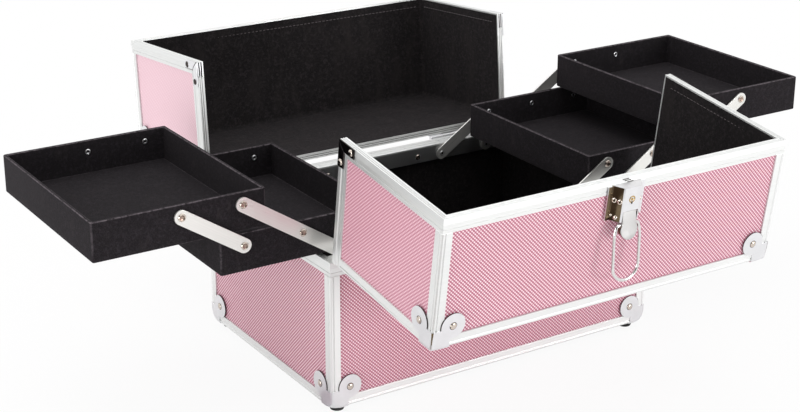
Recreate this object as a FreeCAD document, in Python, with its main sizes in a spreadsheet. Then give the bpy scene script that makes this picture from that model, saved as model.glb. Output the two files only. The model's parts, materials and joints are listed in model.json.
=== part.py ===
import FreeCAD, Part
import Sketcher
import math
import os

# Makeup train case, open as in use: base box, lid split into a front and a rear half, and two
# cantilever trays on each side. Millimetres, +X to the right, +Y to the rear, +Z up. The origin is
# on the floor under the middle of the base.

DIMENSIONS = [
    ("case_width", 360, "outside width over the frame"),
    ("case_depth", 236, "outside depth over the frame"),
    ("base_height", 141, "height of the base box without its feet"),
    ("lid_height", 156, "height of the closed lid"),
    ("front_lid_open", 98, "opening angle of the front lid half, degrees"),
    ("rear_lid_open", 95, "opening angle of the rear lid half, degrees"),
    ("seam_gap", 0.3, "gap between lid and base, and between the lid halves"),
    ("panel_thick", 4, "pink board panels"),
    ("lining_thick", 1.2, "suede lining"),
    ("frame_wall", 1.5, "wall of the frame extrusions"),
    ("edge_leg", 10, "leg of the plain edge extrusions"),
    ("edge_bead", 3.2, "width of the bead along an edge extrusion"),
    ("edge_groove", 0.6, "width and depth of the groove beside the bead"),
    ("rim_leg", 13, "outer leg of the rim extrusions"),
    ("rim_ridge", 5, "distance of the ridge from a rim's mating edge"),
    ("rim_relief", 0.6, "depth of a rim's recessed bands"),
    ("base_rim_width", 16.5, "top face of the base rim, front and rear"),
    ("bracket_thick", 0.8, "sheet of the corner brackets and clips"),
    ("bracket_arm", 17, "square cap of a corner bracket"),
    ("ear_radius", 11.5, "round ear of a corner bracket"),
    ("ear_inset", 19, "ear centre from the two edges"),
    ("clip_arm", 24, "length of a corner clip along each rim"),
    ("clip_width", 9, "width of a corner clip"),
    ("rivet_shank", 1.5, "radius of a frame rivet's shank"),
    ("rivet_head", 3.2, "radius of a frame rivet's head"),
    ("rivet_tip", 1.7, "radius of the flat on a frame rivet's head"),
    ("rivet_dome", 1.4, "height of a frame rivet's head"),
    ("foot_height", 6.2, "rubber foot below the corner bracket"),
    ("foot_radius", 8.5, "rubber foot at its top"),
    ("foot_tip", 6.5, "rubber foot at the floor"),
    ("foot_inset", 13, "foot centre from the two edges"),
    ("tray_height", 35, "outside height of a tray"),
    ("tray_wall", 3, "walls and floor of a tray"),
    ("tray_stack_gap", 2, "gap between stacked trays"),
    ("tray_lift", 2.8, "lower tray above the base rim"),
    ("tray_reach", 56.5, "half of one stage's sideways travel"),
    ("tray_side_gap", 18.5, "folded tray's outer side from the case's side"),
    ("tray_middle_gap", 4.5, "folded tray's inner side from the middle"),
    ("pivot_height", 24, "tray pivots above the tray's underside"),
    ("arm_width", 13, "flat cantilever arms"),
    ("arm_thick", 1.5, "flat cantilever arms"),
    ("arm_gap", 0.5, "arm to tray, and arm to pivot strip"),
    ("strip_thick", 1.5, "pivot strip inside the base rim"),
    ("pin_radius", 2, "pivot rivet shank"),
    ("pin_head", 3.6, "pivot rivet head"),
    ("pin_head_thick", 1, "pivot rivet head"),
    ("head_gap", 0.2, "pivot rivet head to arm"),
    ("running_fit", 0.05, "radial clearance of a turning fit"),
    ("hinge_offset", 2.6, "hinge axis outside the case's face"),
    ("hinge_knuckle", 2, "outer radius of a hinge knuckle"),
    ("hinge_pin", 1, "radius of a hinge pin"),
    ("hinge_leaf", 1, "hinge leaf sheet"),
    ("hinge_leaf_width", 11, "hinge leaf from the axis"),
    ("hinge_length", 46, "length of one hinge"),
    ("hinge_spacing", 210, "distance between the two hinges of a lid half"),
    ("latch_base", 30, "latch housing across, at the lid"),
    ("latch_width", 18, "latch housing across, at its front face"),
    ("latch_height", 30.5, "latch housing along the lid"),
    ("latch_depth", 9.5, "latch housing out of the lid"),
    ("latch_wall", 1.2, "latch housing sheet"),
    ("latch_setback", 5, "latch housing from the seam"),
    ("latch_flange", 4, "mounting flange beside the housing"),
    ("latch_face", 21, "length of the housing's front face"),
    ("lever_length", 25, "lever tab"),
    ("lever_neck", 10.8, "narrow part of the lever, between the housing's sides"),
    ("lever_tip", 9, "half width of the lever's tab below the housing"),
    ("lever_tilt", 10, "lever's stand-off from the lid at its tip, degrees"),
    ("lever_gap", 0.5, "lever to the housing"),
    ("lever_cheek", 7.2, "outside of the lever's cheeks from the middle"),
    ("lever_pin_drop", 27, "lever pin from the housing's top"),
    ("lever_pin_depth", 5, "lever pin above the lid"),
    ("lock_radius", 3.2, "lock plug"),
    ("lock_inset", 10.5, "lock plug from the housing's top"),
    ("lock_slot", 1.2, "width of the key slot"),
    ("bail_width", 27, "bail wire, leg to leg"),
    ("bail_length", 50, "bail wire, pivot to the bottom of the loop"),
    ("bail_wire", 1.5, "bail wire radius"),
    ("bail_drop", 34, "bail pivot from the housing's top"),
    ("bail_depth", 7, "bail pivot above the lid"),
    ("strike_width", 20, "strike plate"),
    ("strike_length", 14, "strike plate"),
    ("strike_lip_width", 12, "hook that the bail catches"),
    ("strike_lip_inset", 9, "hook from the seam"),
    ("strike_lip_height", 4, "hook above the lid"),
    ("handle_span", 118, "carry handle, pivot to pivot"),
    ("handle_reach", 34, "carry handle, pivot to grip"),
    ("handle_grip", 7, "radius of the grip"),
    ("handle_leg", 4, "radius of the handle's legs"),
    ("handle_inset", 46, "handle pivots from the seam"),
    ("handle_stand", 3, "thickness of the handle's stands"),
    ("handle_plate", 24, "length of the handle's foot plates"),
]


class Size:
    # a length or angle with its value and the spreadsheet expression it comes from

    def __init__(self, text, value):
        self.text = text
        self.value = value

    def joined(self, sign, other, result, swap=False):
        first, second = (size(other), self) if swap else (self, size(other))
        return Size("(%s %s %s)" % (first.text, sign, second.text), result)

    def __add__(self, other):
        return self.joined("+", other, self.value + size(other).value)

    def __radd__(self, other):
        return self.joined("+", other, size(other).value + self.value, True)

    def __sub__(self, other):
        return self.joined("-", other, self.value - size(other).value)

    def __rsub__(self, other):
        return self.joined("-", other, size(other).value - self.value, True)

    def __mul__(self, other):
        return self.joined("*", other, self.value * size(other).value)

    def __rmul__(self, other):
        return self.joined("*", other, size(other).value * self.value, True)

    def __truediv__(self, other):
        return self.joined("/", other, self.value / size(other).value)

    def __neg__(self):
        return Size("(0 - %s)" % self.text, -self.value)


def size(number):
    return number if isinstance(number, Size) else Size(repr(number), number)


def square_root(a):
    return Size("sqrt(%s)" % a.text, math.sqrt(a.value))


def sine(angle):
    return Size("sin(%s)" % angle.text, math.sin(math.radians(angle.value)))


def cosine(angle):
    return Size("cos(%s)" % angle.text, math.cos(math.radians(angle.value)))


def slope_angle(rise, run):
    # degrees, as a plain number
    text = "(atan(%s / %s) / 1 deg)" % (rise.text, run.text)
    return Size(text, math.degrees(math.atan(rise.value / run.value)))


doc = FreeCAD.newDocument("train_case")
sheet = doc.addObject("Spreadsheet::Sheet", "dims")
d = {}
for row, (alias, number, note) in enumerate(DIMENSIONS, start=1):
    sheet.set("A%d" % row, note)
    sheet.set("B%d" % row, str(number))
    sheet.setAlias("B%d" % row, alias)
    d[alias] = Size("dims." + alias, number)
doc.recompute()

X, Y, Z = FreeCAD.Vector(1, 0, 0), FreeCAD.Vector(0, 1, 0), FreeCAD.Vector(0, 0, 1)
nodes = []


# Helpers: bound primitives, groups and extrusions

def bind(obj, prop, value):
    value = size(value)
    obj.setExpression(prop, value.text)


def move(obj, x=0, y=0, z=0):
    for axis, value in (("x", x), ("y", y), ("z", z)):
        bind(obj, "Placement.Base." + axis, value)


def box(name, x, y, z):
    obj = doc.addObject("Part::Box", name)
    for prop, span in (("Length", x), ("Width", y), ("Height", z)):
        bind(obj, prop, size(span[1]) - span[0])
    move(obj, x[0], y[0], z[0])
    return obj


AXIS_TURN = {"x": FreeCAD.Rotation(Y, 90), "y": FreeCAD.Rotation(X, -90), "z": FreeCAD.Rotation()}


def rod(name, radius, axis, span, x=0, y=0, z=0, tip=None):
    # a cylinder, or a cone when tip gives the radius at the end of the span
    obj = doc.addObject("Part::Cone" if tip else "Part::Cylinder", name)
    if tip:
        bind(obj, "Radius1", radius)
        bind(obj, "Radius2", tip)
    else:
        bind(obj, "Radius", radius)
    bind(obj, "Height", size(span[1]) - span[0])
    obj.Placement = FreeCAD.Placement(FreeCAD.Vector(), AXIS_TURN[axis])
    at = {"x": x, "y": y, "z": z}
    at[axis] = span[0]
    move(obj, **at)
    return obj


def group(name, members):
    obj = doc.addObject("Part::Compound", name)
    obj.Links = members
    return obj


def fuse(name, members):
    obj = doc.addObject("Part::MultiFuse", name)
    obj.Shapes = members
    return obj


def cut(name, base, tools):
    obj = doc.addObject("Part::Cut", name)
    obj.Base = base
    obj.Tool = tools[0] if len(tools) == 1 else group(name + "_cuts", tools)
    return obj


def node(label, members):
    obj = group(label, members)
    obj.Label = label
    nodes.append(obj)
    return obj


def polygon(body, name, role, points):
    # a closed outline on an origin plane, each corner held by the sheet
    sketch = body.newObject("Sketcher::SketchObject", name)
    plane = [f for f in body.Origin.OriginFeatures if f.Role == role][0]
    sketch.AttachmentSupport = (plane, [""])
    sketch.MapMode = "FlatFace"
    points = [(size(a), size(b)) for a, b in points]
    count = len(points)
    for i, (a, b) in enumerate(points):
        c, e = points[(i + 1) % count]
        start, end = FreeCAD.Vector(a.value, b.value, 0), FreeCAD.Vector(c.value, e.value, 0)
        sketch.addGeometry(Part.LineSegment(start, end))
    for i in range(count):
        sketch.addConstraint(Sketcher.Constraint("Coincident", i, 2, (i + 1) % count, 1))
    for i, corner in enumerate(points):
        for kind, value in zip(("DistanceX", "DistanceY"), corner):
            index = sketch.addConstraint(Sketcher.Constraint(kind, -1, 1, i, 1, value.value))
            sketch.setExpression("Constraints[%d]" % index, value.text)
    return sketch


OVERCUT = 1
RIGHT_ANGLE = 90


def extrusion(name, profile, length, along, inward, at, mitres=()):
    # A bar along its own X with the profile in (Y inward, Z away from the mating edge). A mitre is
    # (end, plane, depth, width): end 0 or 1, plane "XY_Plane" where webs meet and "XZ_Plane" where legs
    # meet. It runs at 45 degrees as deep as the bar it meets is wide, then square to this bar's own width.
    body = doc.addObject("PartDesign::Body", name)
    pad = body.newObject("PartDesign::Pad", name + "_pad")
    pad.Profile = polygon(body, name + "_profile", "YZ_Plane", profile)
    bind(pad, "Length", length)
    for end, plane, depth, width in mitres:
        far = width + OVERCUT
        corners = [(-OVERCUT, -OVERCUT), (depth, depth), (depth, far), (-OVERCUT, far)]
        if end == 1:
            corners = [(length - a, b) for a, b in reversed(corners)]
        pocket = body.newObject("PartDesign::Pocket", "%s_mitre%d" % (name, end))
        pocket.Profile = polygon(body, "%s_mitre%d_outline" % (name, end), plane, corners)
        pocket.Type = "ThroughAll"
        pocket.SideType = "Symmetric"
    body.Placement = FreeCAD.Placement(
        FreeCAD.Vector(), FreeCAD.Rotation(along, inward, along.cross(inward), "XYZ"))
    move(body, *at)
    return body


# Sizes that follow from the sheet

half_width = d["case_width"] / 2
half_depth = d["case_depth"] / 2
base_bottom = d["foot_height"] + d["bracket_thick"]
base_top = base_bottom + d["base_height"]
wall = d["frame_wall"]
board = wall + d["panel_thick"]
inside = board + d["lining_thick"]
rim_web = wall
side_rim_width = inside
edge_leg, rim_leg = d["edge_leg"], d["rim_leg"]

arm_plane = half_depth - d["base_rim_width"] - d["arm_gap"] - d["arm_thick"]
tray_half_depth = arm_plane - d["arm_gap"]
tray_width = half_width - d["tray_side_gap"] - d["tray_middle_gap"]
tray_rise = d["tray_height"] + d["tray_stack_gap"]
reach = d["tray_reach"]
arm_pitch = square_root(reach * reach + tray_rise * tray_rise)
arm_angle = slope_angle(tray_rise, reach)
pivot_inset = tray_width / 2 - reach
lower_tray_inner = d["tray_middle_gap"] + reach * 2
upper_tray_inner = lower_tray_inner + reach * 2
lower_tray_bottom = base_top + d["tray_lift"]
upper_tray_bottom = lower_tray_bottom + tray_rise
lower_pivot_z = lower_tray_bottom + d["pivot_height"]
base_pivot_z = lower_pivot_z - tray_rise
short_arm_x = lower_tray_inner + pivot_inset - reach
long_arm_x = short_arm_x + reach
strip_inner = arm_plane + d["arm_thick"] + d["arm_gap"]


# Profiles, drawn as (inward from the outer face, away from the mating edge)

def rim_profile(width):
    # an angle with a ridge along its outer leg
    ridge, relief = d["rim_ridge"], d["rim_relief"]
    return [(relief, 0), (width, 0), (width, rim_web), (wall, rim_web), (wall, rim_leg),
            (relief, rim_leg), (relief, ridge + relief), (0, ridge)]


def edge_profile():
    # an angle with a bead along its corner, set off by a groove on each face
    bead, groove = d["edge_bead"], d["edge_groove"]
    far = bead + groove
    along_face = [(groove * 2, 0), (bead - groove, 0), (bead, groove), (far, groove), (far, 0)]
    up_face = [(b, a) for a, b in reversed(along_face)]
    angle = [(edge_leg, 0), (edge_leg, wall), (wall, wall), (wall, edge_leg), (0, edge_leg)]
    return angle + up_face + along_face


# Base box

def base_panels():
    in_x, in_y = half_width - wall, half_depth - wall
    low, high = base_bottom + wall, base_top - rim_web
    for label, sign in (("base_front_panel", -1), ("base_rear_panel", 1)):
        span = (-in_y, -half_depth + board) if sign < 0 else (half_depth - board, in_y)
        node(label, [box(label + "_board", (-in_x, in_x), span, (low, high))])
    for label, sign in (("base_left_panel", -1), ("base_right_panel", 1)):
        span = (-in_x, -half_width + board) if sign < 0 else (half_width - board, in_x)
        depth = (-half_depth + board, half_depth - board)
        node(label, [box(label + "_board", span, depth, (low, high))])
    node("base_floor_panel", [box("base_floor_board", (-half_width + board, half_width - board),
                                  (-half_depth + board, half_depth - board),
                                  (low, low + d["panel_thick"]))])
    floor = low + d["panel_thick"]
    outer = box("base_lining_outside", (-half_width + board, half_width - board),
                (-half_depth + board, half_depth - board), (floor, high))
    inner = box("base_lining_inside", (-half_width + inside, half_width - inside),
                (-half_depth + inside, half_depth - inside), (floor + d["lining_thick"], high + OVERCUT))
    node("base_lining", [cut("base_lining_shell", outer, [inner])])


def base_frame():
    wide, narrow = rim_profile(d["base_rim_width"]), rim_profile(side_rim_width)
    wide_ends = [(end, "XY_Plane", side_rim_width, d["base_rim_width"]) for end in (0, 1)]
    narrow_ends = [(end, "XY_Plane", side_rim_width, side_rim_width) for end in (0, 1)]
    across, deep = d["case_width"], d["case_depth"]
    node("base_rim", [
        extrusion("base_rim_front", wide, across, -X, Y, (half_width, -half_depth, base_top), wide_ends),
        extrusion("base_rim_rear", wide, across, X, -Y, (-half_width, half_depth, base_top), wide_ends),
        extrusion("base_rim_left", narrow, deep, Y, X, (-half_width, -half_depth, base_top), narrow_ends),
        extrusion("base_rim_right", narrow, deep, -Y, -X, (half_width, half_depth, base_top), narrow_ends),
    ])
    edge = edge_profile()
    long_edge = d["case_width"] - edge_leg * 2
    short_edge = d["case_depth"] - edge_leg * 2
    node("base_bottom_edges", [
        extrusion("base_edge_front", edge, long_edge, X, Y, (-long_edge / 2, -half_depth, base_bottom)),
        extrusion("base_edge_rear", edge, long_edge, -X, -Y, (long_edge / 2, half_depth, base_bottom)),
        extrusion("base_edge_left", edge, short_edge, -Y, X, (-half_width, short_edge / 2, base_bottom)),
        extrusion("base_edge_right", edge, short_edge, Y, -X, (half_width, -short_edge / 2, base_bottom)),
    ])
    post = d["base_height"] - edge_leg - rim_leg
    foot = base_bottom + edge_leg
    node("base_corner_posts", [
        extrusion("base_post_front_left", edge, post, Z, X, (-half_width, -half_depth, foot)),
        extrusion("base_post_front_right", edge, post, Z, Y, (half_width, -half_depth, foot)),
        extrusion("base_post_rear_right", edge, post, Z, -X, (half_width, half_depth, foot)),
        extrusion("base_post_rear_left", edge, post, Z, -Y, (-half_width, half_depth, foot)),
    ])


# Corner brackets: a stamped three-way cap, with a riveted round ear on each face

def inward(corner, into, axis, low, high):
    # a span along one axis, counted from the corner into the box
    near, far = corner[axis] + into[axis] * size(low), corner[axis] + into[axis] * size(high)
    return (near, far) if into[axis] > 0 else (far, near)


def bracket(name, corner, into, holes):
    # corner is a point of the frame, into gives the signs that point into the box
    outside, arm = -d["bracket_thick"], d["bracket_arm"]
    plates = []
    for face in range(3):
        spans = [inward(corner, into, axis, outside, 0 if axis == face else arm) for axis in range(3)]
        plates.append(box("%s_cap%d" % (name, face), *spans))
        ear = "%s_ear%d" % (name, face)
        plates.append(ear_rod(ear, d["ear_radius"], face, corner, into, outside, 0))
    return cut(name, fuse(name + "_sheet", plates), holes)


def ear_rod(name, radius, face, corner, into, low, high, tip=None):
    # a round piece on the axis of an ear; low and high count inward from the frame's face
    at = {}
    for axis, letter in enumerate("xyz"):
        at[letter] = corner[axis] + d["ear_inset"] * into[axis]
    letter = "xyz"[face]
    at.pop(letter)
    if tip and into[face] > 0:
        radius, tip = tip, radius
    return rod(name, radius, letter, inward(corner, into, face, low, high), tip=tip, **at)


def bracket_rivet(name, face, corner, into):
    sheet_thick = d["bracket_thick"]
    shank = ear_rod(name + "_shank", d["rivet_shank"], face, corner, into, -sheet_thick, wall)
    head = ear_rod(name + "_head", d["rivet_head"], face, corner, into,
                   -sheet_thick - d["rivet_dome"], -sheet_thick, tip=d["rivet_tip"])
    return fuse(name, [shank, head])


def bracket_hole(name, face, corner, into):
    return ear_rod(name, d["rivet_shank"], face, corner, into, -d["bracket_thick"] - OVERCUT, OVERCUT)


def bracket_set(name, corner, into, faces):
    # a bracket with rivets on the given faces
    holes = [bracket_hole("%s_hole%d" % (name, face), face, corner, into) for face in faces]
    rivets = [bracket_rivet("%s_rivet%d" % (name, face), face, corner, into) for face in faces]
    return bracket(name, corner, into, holes), rivets


def base_corners():
    brackets, rivets, feet = [], [], []
    for sx, sy, place in ((-1, -1, "front_left"), (1, -1, "front_right"),
                          (-1, 1, "rear_left"), (1, 1, "rear_right")):
        corner = (half_width * sx, half_depth * sy, base_bottom)
        cap, pins = bracket_set("base_bracket_" + place, corner, (-sx, -sy, 1), (0, 1))
        brackets.append(cap)
        rivets += pins
        inset_x, inset_y = (half_width - d["foot_inset"]) * sx, (half_depth - d["foot_inset"]) * sy
        feet.append(rod("foot_" + place, d["foot_tip"], "z", (0, d["foot_height"]),
                        x=inset_x, y=inset_y, tip=d["foot_radius"]))
    node("base_corner_brackets", brackets)
    node("base_rivets", rivets)
    node("base_feet", feet)


# Pivot strips under the base rim, and the rivets that the arms turn on

def mirrored(sign, near, far):
    return (near, far) if sign > 0 else (-far, -near)


def pivot_rivet(name, x, z, sign, spans):
    # spans: (radius, near, far), each measured out from the middle plane of the case
    pieces = [rod("%s_%d" % (name, i), radius, "y", mirrored(sign, near, far), x=x, z=z)
              for i, (radius, near, far) in enumerate(spans)]
    return fuse(name, pieces)


def pivot_strips():
    strips, rivets = [], []
    half_length = half_width - inside
    top = base_top - rim_web
    thick = d["strip_thick"]
    shank_start = arm_plane - d["head_gap"] - d["pin_head_thick"]
    for sign, place in ((-1, "front"), (1, "rear")):
        leg = box("strip_leg_" + place, (-half_length, half_length),
                  mirrored(sign, strip_inner, strip_inner + thick),
                  (base_pivot_z - d["arm_width"] / 2, top))
        flange = box("strip_flange_" + place, (-half_length, half_length),
                     mirrored(sign, strip_inner, half_depth - inside), (top - thick, top))
        holes = []
        through = mirrored(sign, strip_inner - OVERCUT, strip_inner + thick + OVERCUT)
        for x, side in ((-long_arm_x, "ll"), (-short_arm_x, "ls"), (short_arm_x, "rs"), (long_arm_x, "rl")):
            name = "%s_%s" % (place, side)
            holes.append(rod("strip_hole_" + name, d["pin_radius"], "y", through, x=x, z=base_pivot_z))
            rivets.append(pivot_rivet("base_pivot_" + name, x, base_pivot_z, sign, [
                (d["pin_head"], shank_start, shank_start + d["pin_head_thick"]),
                (d["pin_radius"], shank_start, strip_inner + thick),
                (d["pin_head"], strip_inner + thick, strip_inner + thick + d["pin_head_thick"] / 2)]))
        strips.append(cut("strip_" + place, fuse("strip_sheet_" + place, [leg, flange]), holes))
    node("pivot_strips", strips)
    node("base_pivot_rivets", rivets)


# Hinges: the leaf is drawn above the axis, facing the case on its +Y side

def hinge_leaf(name, x, knuckles):
    half = d["hinge_length"] / 2
    face = d["hinge_offset"]
    sheet_span = (face - d["hinge_leaf"], face)
    pieces = [box(name + "_sheet", (x - half, x + half), sheet_span,
                  (d["hinge_knuckle"] + d["seam_gap"], d["hinge_leaf_width"]))]
    for i, (a, b) in enumerate(knuckles):
        pieces.append(box("%s_tab%d" % (name, i), (x + a, x + b), sheet_span,
                          (0, d["hinge_knuckle"] + d["seam_gap"])))
        pieces.append(rod("%s_knuckle%d" % (name, i), d["hinge_knuckle"], "x", (x + a, x + b)))
    through = (x - half - OVERCUT, x + half + OVERCUT)
    bore = rod(name + "_bore", d["hinge_pin"] + d["running_fit"], "x", through)
    return cut(name, fuse(name + "_raw", pieces), [bore])


hinge_third = d["hinge_length"] / 6
LID_KNUCKLES = [(-hinge_third + d["seam_gap"], hinge_third - d["seam_gap"])]
BASE_KNUCKLES = [(-d["hinge_length"] / 2, -hinge_third), (hinge_third, d["hinge_length"] / 2)]
HINGE_PLACES = [("left", -d["hinge_spacing"] / 2), ("right", d["hinge_spacing"] / 2)]
hinge_axis_y = -half_depth - d["hinge_offset"]
hinge_axis_z = base_top + d["seam_gap"] / 2


def base_hinges():
    # base leaves hang below the axis, so each is a lid leaf turned over about Y
    turned = []
    for place, x in HINGE_PLACES:
        half = d["hinge_length"] / 2
        turned.append(hinge_leaf("base_leaf_" + place, x, BASE_KNUCKLES))
        turned.append(rod("hinge_pin_" + place, d["hinge_pin"], "x", (x - half, x + half)))
    front = group("front_base_hinges", turned)
    front.Placement = FreeCAD.Placement(FreeCAD.Vector(), FreeCAD.Rotation(Y, 180))
    move(front, 0, hinge_axis_y, hinge_axis_z)
    rear = group("rear_base_hinges", [front])
    rear.Placement = FreeCAD.Placement(FreeCAD.Vector(), FreeCAD.Rotation(Z, 180))
    node("base_hinges", [front, rear])


# Lid halves, drawn closed, from the hinge axis: +Y towards the seam, +Z up

lid_face = d["hinge_offset"]
lid_seam = lid_face + half_depth - d["seam_gap"] / 2
lid_low = d["seam_gap"] / 2
lid_top = lid_low + d["lid_height"]


def lid_node(half, label, members):
    # swing the closed piece open; the rear half is the front half turned about Z
    open_piece = group(label + "_open", members)
    open_piece.Placement = FreeCAD.Placement(FreeCAD.Vector(), FreeCAD.Rotation(X, 1))
    bind(open_piece, "Placement.Rotation.Angle", d[half + "_lid_open"])
    move(open_piece, 0, hinge_axis_y, hinge_axis_z)
    placed = node(label, [open_piece])
    if half == "rear":
        placed.Placement = FreeCAD.Placement(FreeCAD.Vector(), FreeCAD.Rotation(Z, 180))
    return placed


def lid_sides(half):
    # left and right as seen on the finished case; turning the rear half swaps them
    return (("left", -1), ("right", 1)) if half == "front" else (("left", 1), ("right", -1))


def lid_panels(half):
    lid = half + "_lid_"
    in_x = half_width - wall
    top = lid_top - wall
    low, seam = lid_low + rim_web, lid_seam - rim_web
    face_label = lid + half + "_panel"
    lid_node(half, face_label, [box(face_label + "_board", (-in_x, in_x),
                                    (lid_face + wall, lid_face + board), (low, top))])
    lid_node(half, lid + "top_panel", [box(lid + "top_board", (-half_width + board, half_width - board),
                                           (lid_face + board, seam), (lid_top - board, top))])
    for place, sign in lid_sides(half):
        label = lid + place + "_panel"
        span = mirrored(sign, half_width - board, in_x)
        lid_node(half, label, [box(label + "_board", span, (lid_face + board, seam), (low, top))])
    outer = box(lid + "lining_outside", (-half_width + board, half_width - board),
                (lid_face + board, seam), (low, lid_top - board))
    inner = box(lid + "lining_inside", (-half_width + inside, half_width - inside),
                (lid_face + inside, seam + OVERCUT), (low - OVERCUT, lid_top - inside))
    lid_node(half, lid + "lining", [cut(lid + "lining_shell", outer, [inner])])


def lid_frame(half):
    lid = half + "_lid_"
    rim = rim_profile(side_rim_width)
    deep = lid_seam - lid_face
    web_start, web_end = [(end, "XY_Plane", side_rim_width, side_rim_width) for end in (0, 1)]
    leg_start, leg_end = [(end, "XZ_Plane", rim_leg, rim_leg) for end in (0, 1)]
    height = d["lid_height"]
    across = d["case_width"]
    bars = (("hinge_rim_face", across, X, Y, (-half_width, lid_face, lid_low), [web_start, web_end]),
            ("hinge_rim_a", deep, -Y, X, (-half_width, lid_seam, lid_low), [leg_start, web_end]),
            ("hinge_rim_b", deep, Y, -X, (half_width, lid_face, lid_low), [web_start, leg_end]),
            ("seam_rim_top", across, -X, -Z, (half_width, lid_seam, lid_top), [web_start, web_end]),
            ("seam_rim_a", height, -Z, X, (-half_width, lid_seam, lid_top), [web_start, leg_end]),
            ("seam_rim_b", height, Z, -X, (half_width, lid_seam, lid_low), [leg_start, web_end]))
    lid_node(half, lid + "rims", [extrusion(lid + name, rim, *rest) for name, *rest in bars])
    edge = edge_profile()
    long_edge = d["case_width"] - edge_leg * 2
    upright = height - rim_leg - edge_leg
    cross = deep - rim_leg - edge_leg
    lid_node(half, lid + "edges", [
        extrusion(lid + "edge_front", edge, long_edge, X, -Z, (-long_edge / 2, lid_face, lid_top)),
        extrusion(lid + "edge_upright_a", edge, upright, Z, X, (-half_width, lid_face, lid_low + rim_leg)),
        extrusion(lid + "edge_upright_b", edge, upright, Z, Y, (half_width, lid_face, lid_low + rim_leg)),
        extrusion(lid + "edge_cross_a", edge, cross, Y, X, (-half_width, lid_face + edge_leg, lid_top)),
        extrusion(lid + "edge_cross_b", edge, cross, Y, -Z, (half_width, lid_face + edge_leg, lid_top)),
    ])


def lid_corners(half):
    lid = half + "_lid_"
    brackets, rivets, clips = [], [], []
    thick, arm, wide = d["bracket_thick"], d["clip_arm"], d["clip_width"]
    for place, sign in (("a", -1), ("b", 1)):
        cap, pins = bracket_set(lid + "bracket_" + place, (half_width * sign, lid_face, lid_top),
                                (-sign, 1, -1), (0, 1, 2))
        brackets.append(cap)
        rivets += pins
        name = lid + "clip_" + place
        face = mirrored(sign, half_width, half_width + thick)
        plates = [box(name + "_low", face, (lid_seam - arm, lid_seam), (lid_low, lid_low + wide)),
                  box(name + "_up", face, (lid_seam - wide, lid_seam), (lid_low, lid_low + arm))]
        clips.append(fuse(name, plates))
        near, far = wide / 2, arm - wide / 2
        for i, (y, z) in enumerate(((lid_seam - far, lid_low + near), (lid_seam - near, lid_low + far))):
            start = (half_width + thick) * sign
            tip = start + d["rivet_dome"] * sign
            broad, narrow = d["rivet_head"], d["rivet_tip"]
            if sign > 0:
                rivets.append(rod("%s_rivet%d" % (name, i), broad, "x", (start, tip), y=y, z=z, tip=narrow))
            else:
                rivets.append(rod("%s_rivet%d" % (name, i), narrow, "x", (tip, start), y=y, z=z, tip=broad))
    lid_node(half, lid + "corner_brackets", brackets)
    lid_node(half, lid + "corner_clips", clips)
    lid_node(half, lid + "rivets", rivets)


def lid_hinges(half):
    leaves = [hinge_leaf("%s_lid_leaf_%s" % (half, place), x, LID_KNUCKLES) for place, x in HINGE_PLACES]
    lid_node(half, half + "_lid_hinge_leaves", leaves)


# Latch on the front half's top panel, near the seam

latch_top = lid_seam - d["latch_setback"]
panel_face = lid_top - wall
latch_front = lid_top + d["latch_depth"]
lever_pin_y = latch_top - d["lever_pin_drop"]
lever_pin_z = lid_top + d["lever_pin_depth"]


def hung(obj, angle, y, z):
    # turn a piece about X and carry it to its pivot on the lid
    obj.Placement = FreeCAD.Placement(FreeCAD.Vector(), FreeCAD.Rotation(X, 1))
    bind(obj, "Placement.Rotation.Angle", angle)
    move(obj, 0, y, z)
    return obj


def latch_housing():
    # a channel with flared sides, open below and behind, on a flanged foot that reaches down to the panel
    thin = d["latch_wall"]
    foot, front = d["latch_base"] / 2, d["latch_width"] / 2
    depth, length = d["latch_depth"], d["latch_height"]
    flange = foot + d["latch_flange"]
    channel = extrusion("latch_channel", [(-foot, 0), (foot, 0), (front, depth), (-front, depth)],
                        length, -Y, X, (0, latch_top, lid_top))
    low = latch_top - length
    plate = box("latch_flange_plate", (-flange, flange), (low, latch_top), (lid_top, lid_top + thin))
    block = box("latch_foot", (-foot, foot), (low, lid_seam - rim_leg), (panel_face, lid_top))
    slope = (foot - front) / depth
    wide, tight = foot - thin + slope * wall, front - thin
    below, ceiling = -wall - OVERCUT, depth - thin
    hollow = extrusion("latch_hollow", [(-wide, below), (wide, below), (tight, ceiling), (-tight, ceiling)],
                       length + OVERCUT, -Y, X, (0, latch_top - thin, lid_top))
    mouth = box("latch_mouth", (-tight, tight), (low - OVERCUT, latch_top - d["latch_face"]),
                (latch_front - thin - OVERCUT, latch_front + OVERCUT))
    lock_hole = rod("lock_hole", d["lock_radius"] + d["running_fit"], "z",
                    (latch_front - thin - OVERCUT, latch_front + OVERCUT), y=latch_top - d["lock_inset"])
    pin_hole = rod("latch_pin_hole", d["hinge_pin"], "x", (-foot - OVERCUT, foot + OVERCUT),
                   y=lever_pin_y, z=lever_pin_z)
    shell = fuse("latch_block", [channel, plate, block])
    lid_node("front", "latch_housing", [cut("latch_shell", shell, [hollow, mouth, lock_hole, pin_hole])])
    pin_half = foot - slope * d["lever_pin_depth"]
    lid_node("front", "latch_pin", [rod("latch_pin_rod", d["hinge_pin"], "x", (-pin_half, pin_half),
                                        y=lever_pin_y, z=lever_pin_z)])


def lock_plug():
    lock_y, radius = latch_top - d["lock_inset"], d["lock_radius"]
    inner = lid_top + d["lever_pin_depth"]
    plug = rod("lock_plug_rod", radius, "z", (inner, latch_front + d["seam_gap"]), y=lock_y)
    half = d["lock_slot"] / 2
    slot = box("lock_key_slot", (-half, half), (lock_y - radius + half, lock_y + half),
               (latch_front - d["latch_wall"], latch_front + OVERCUT))
    lid_node("front", "lock_plug", [cut("lock_plug_cut", plug, [slot])])


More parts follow.
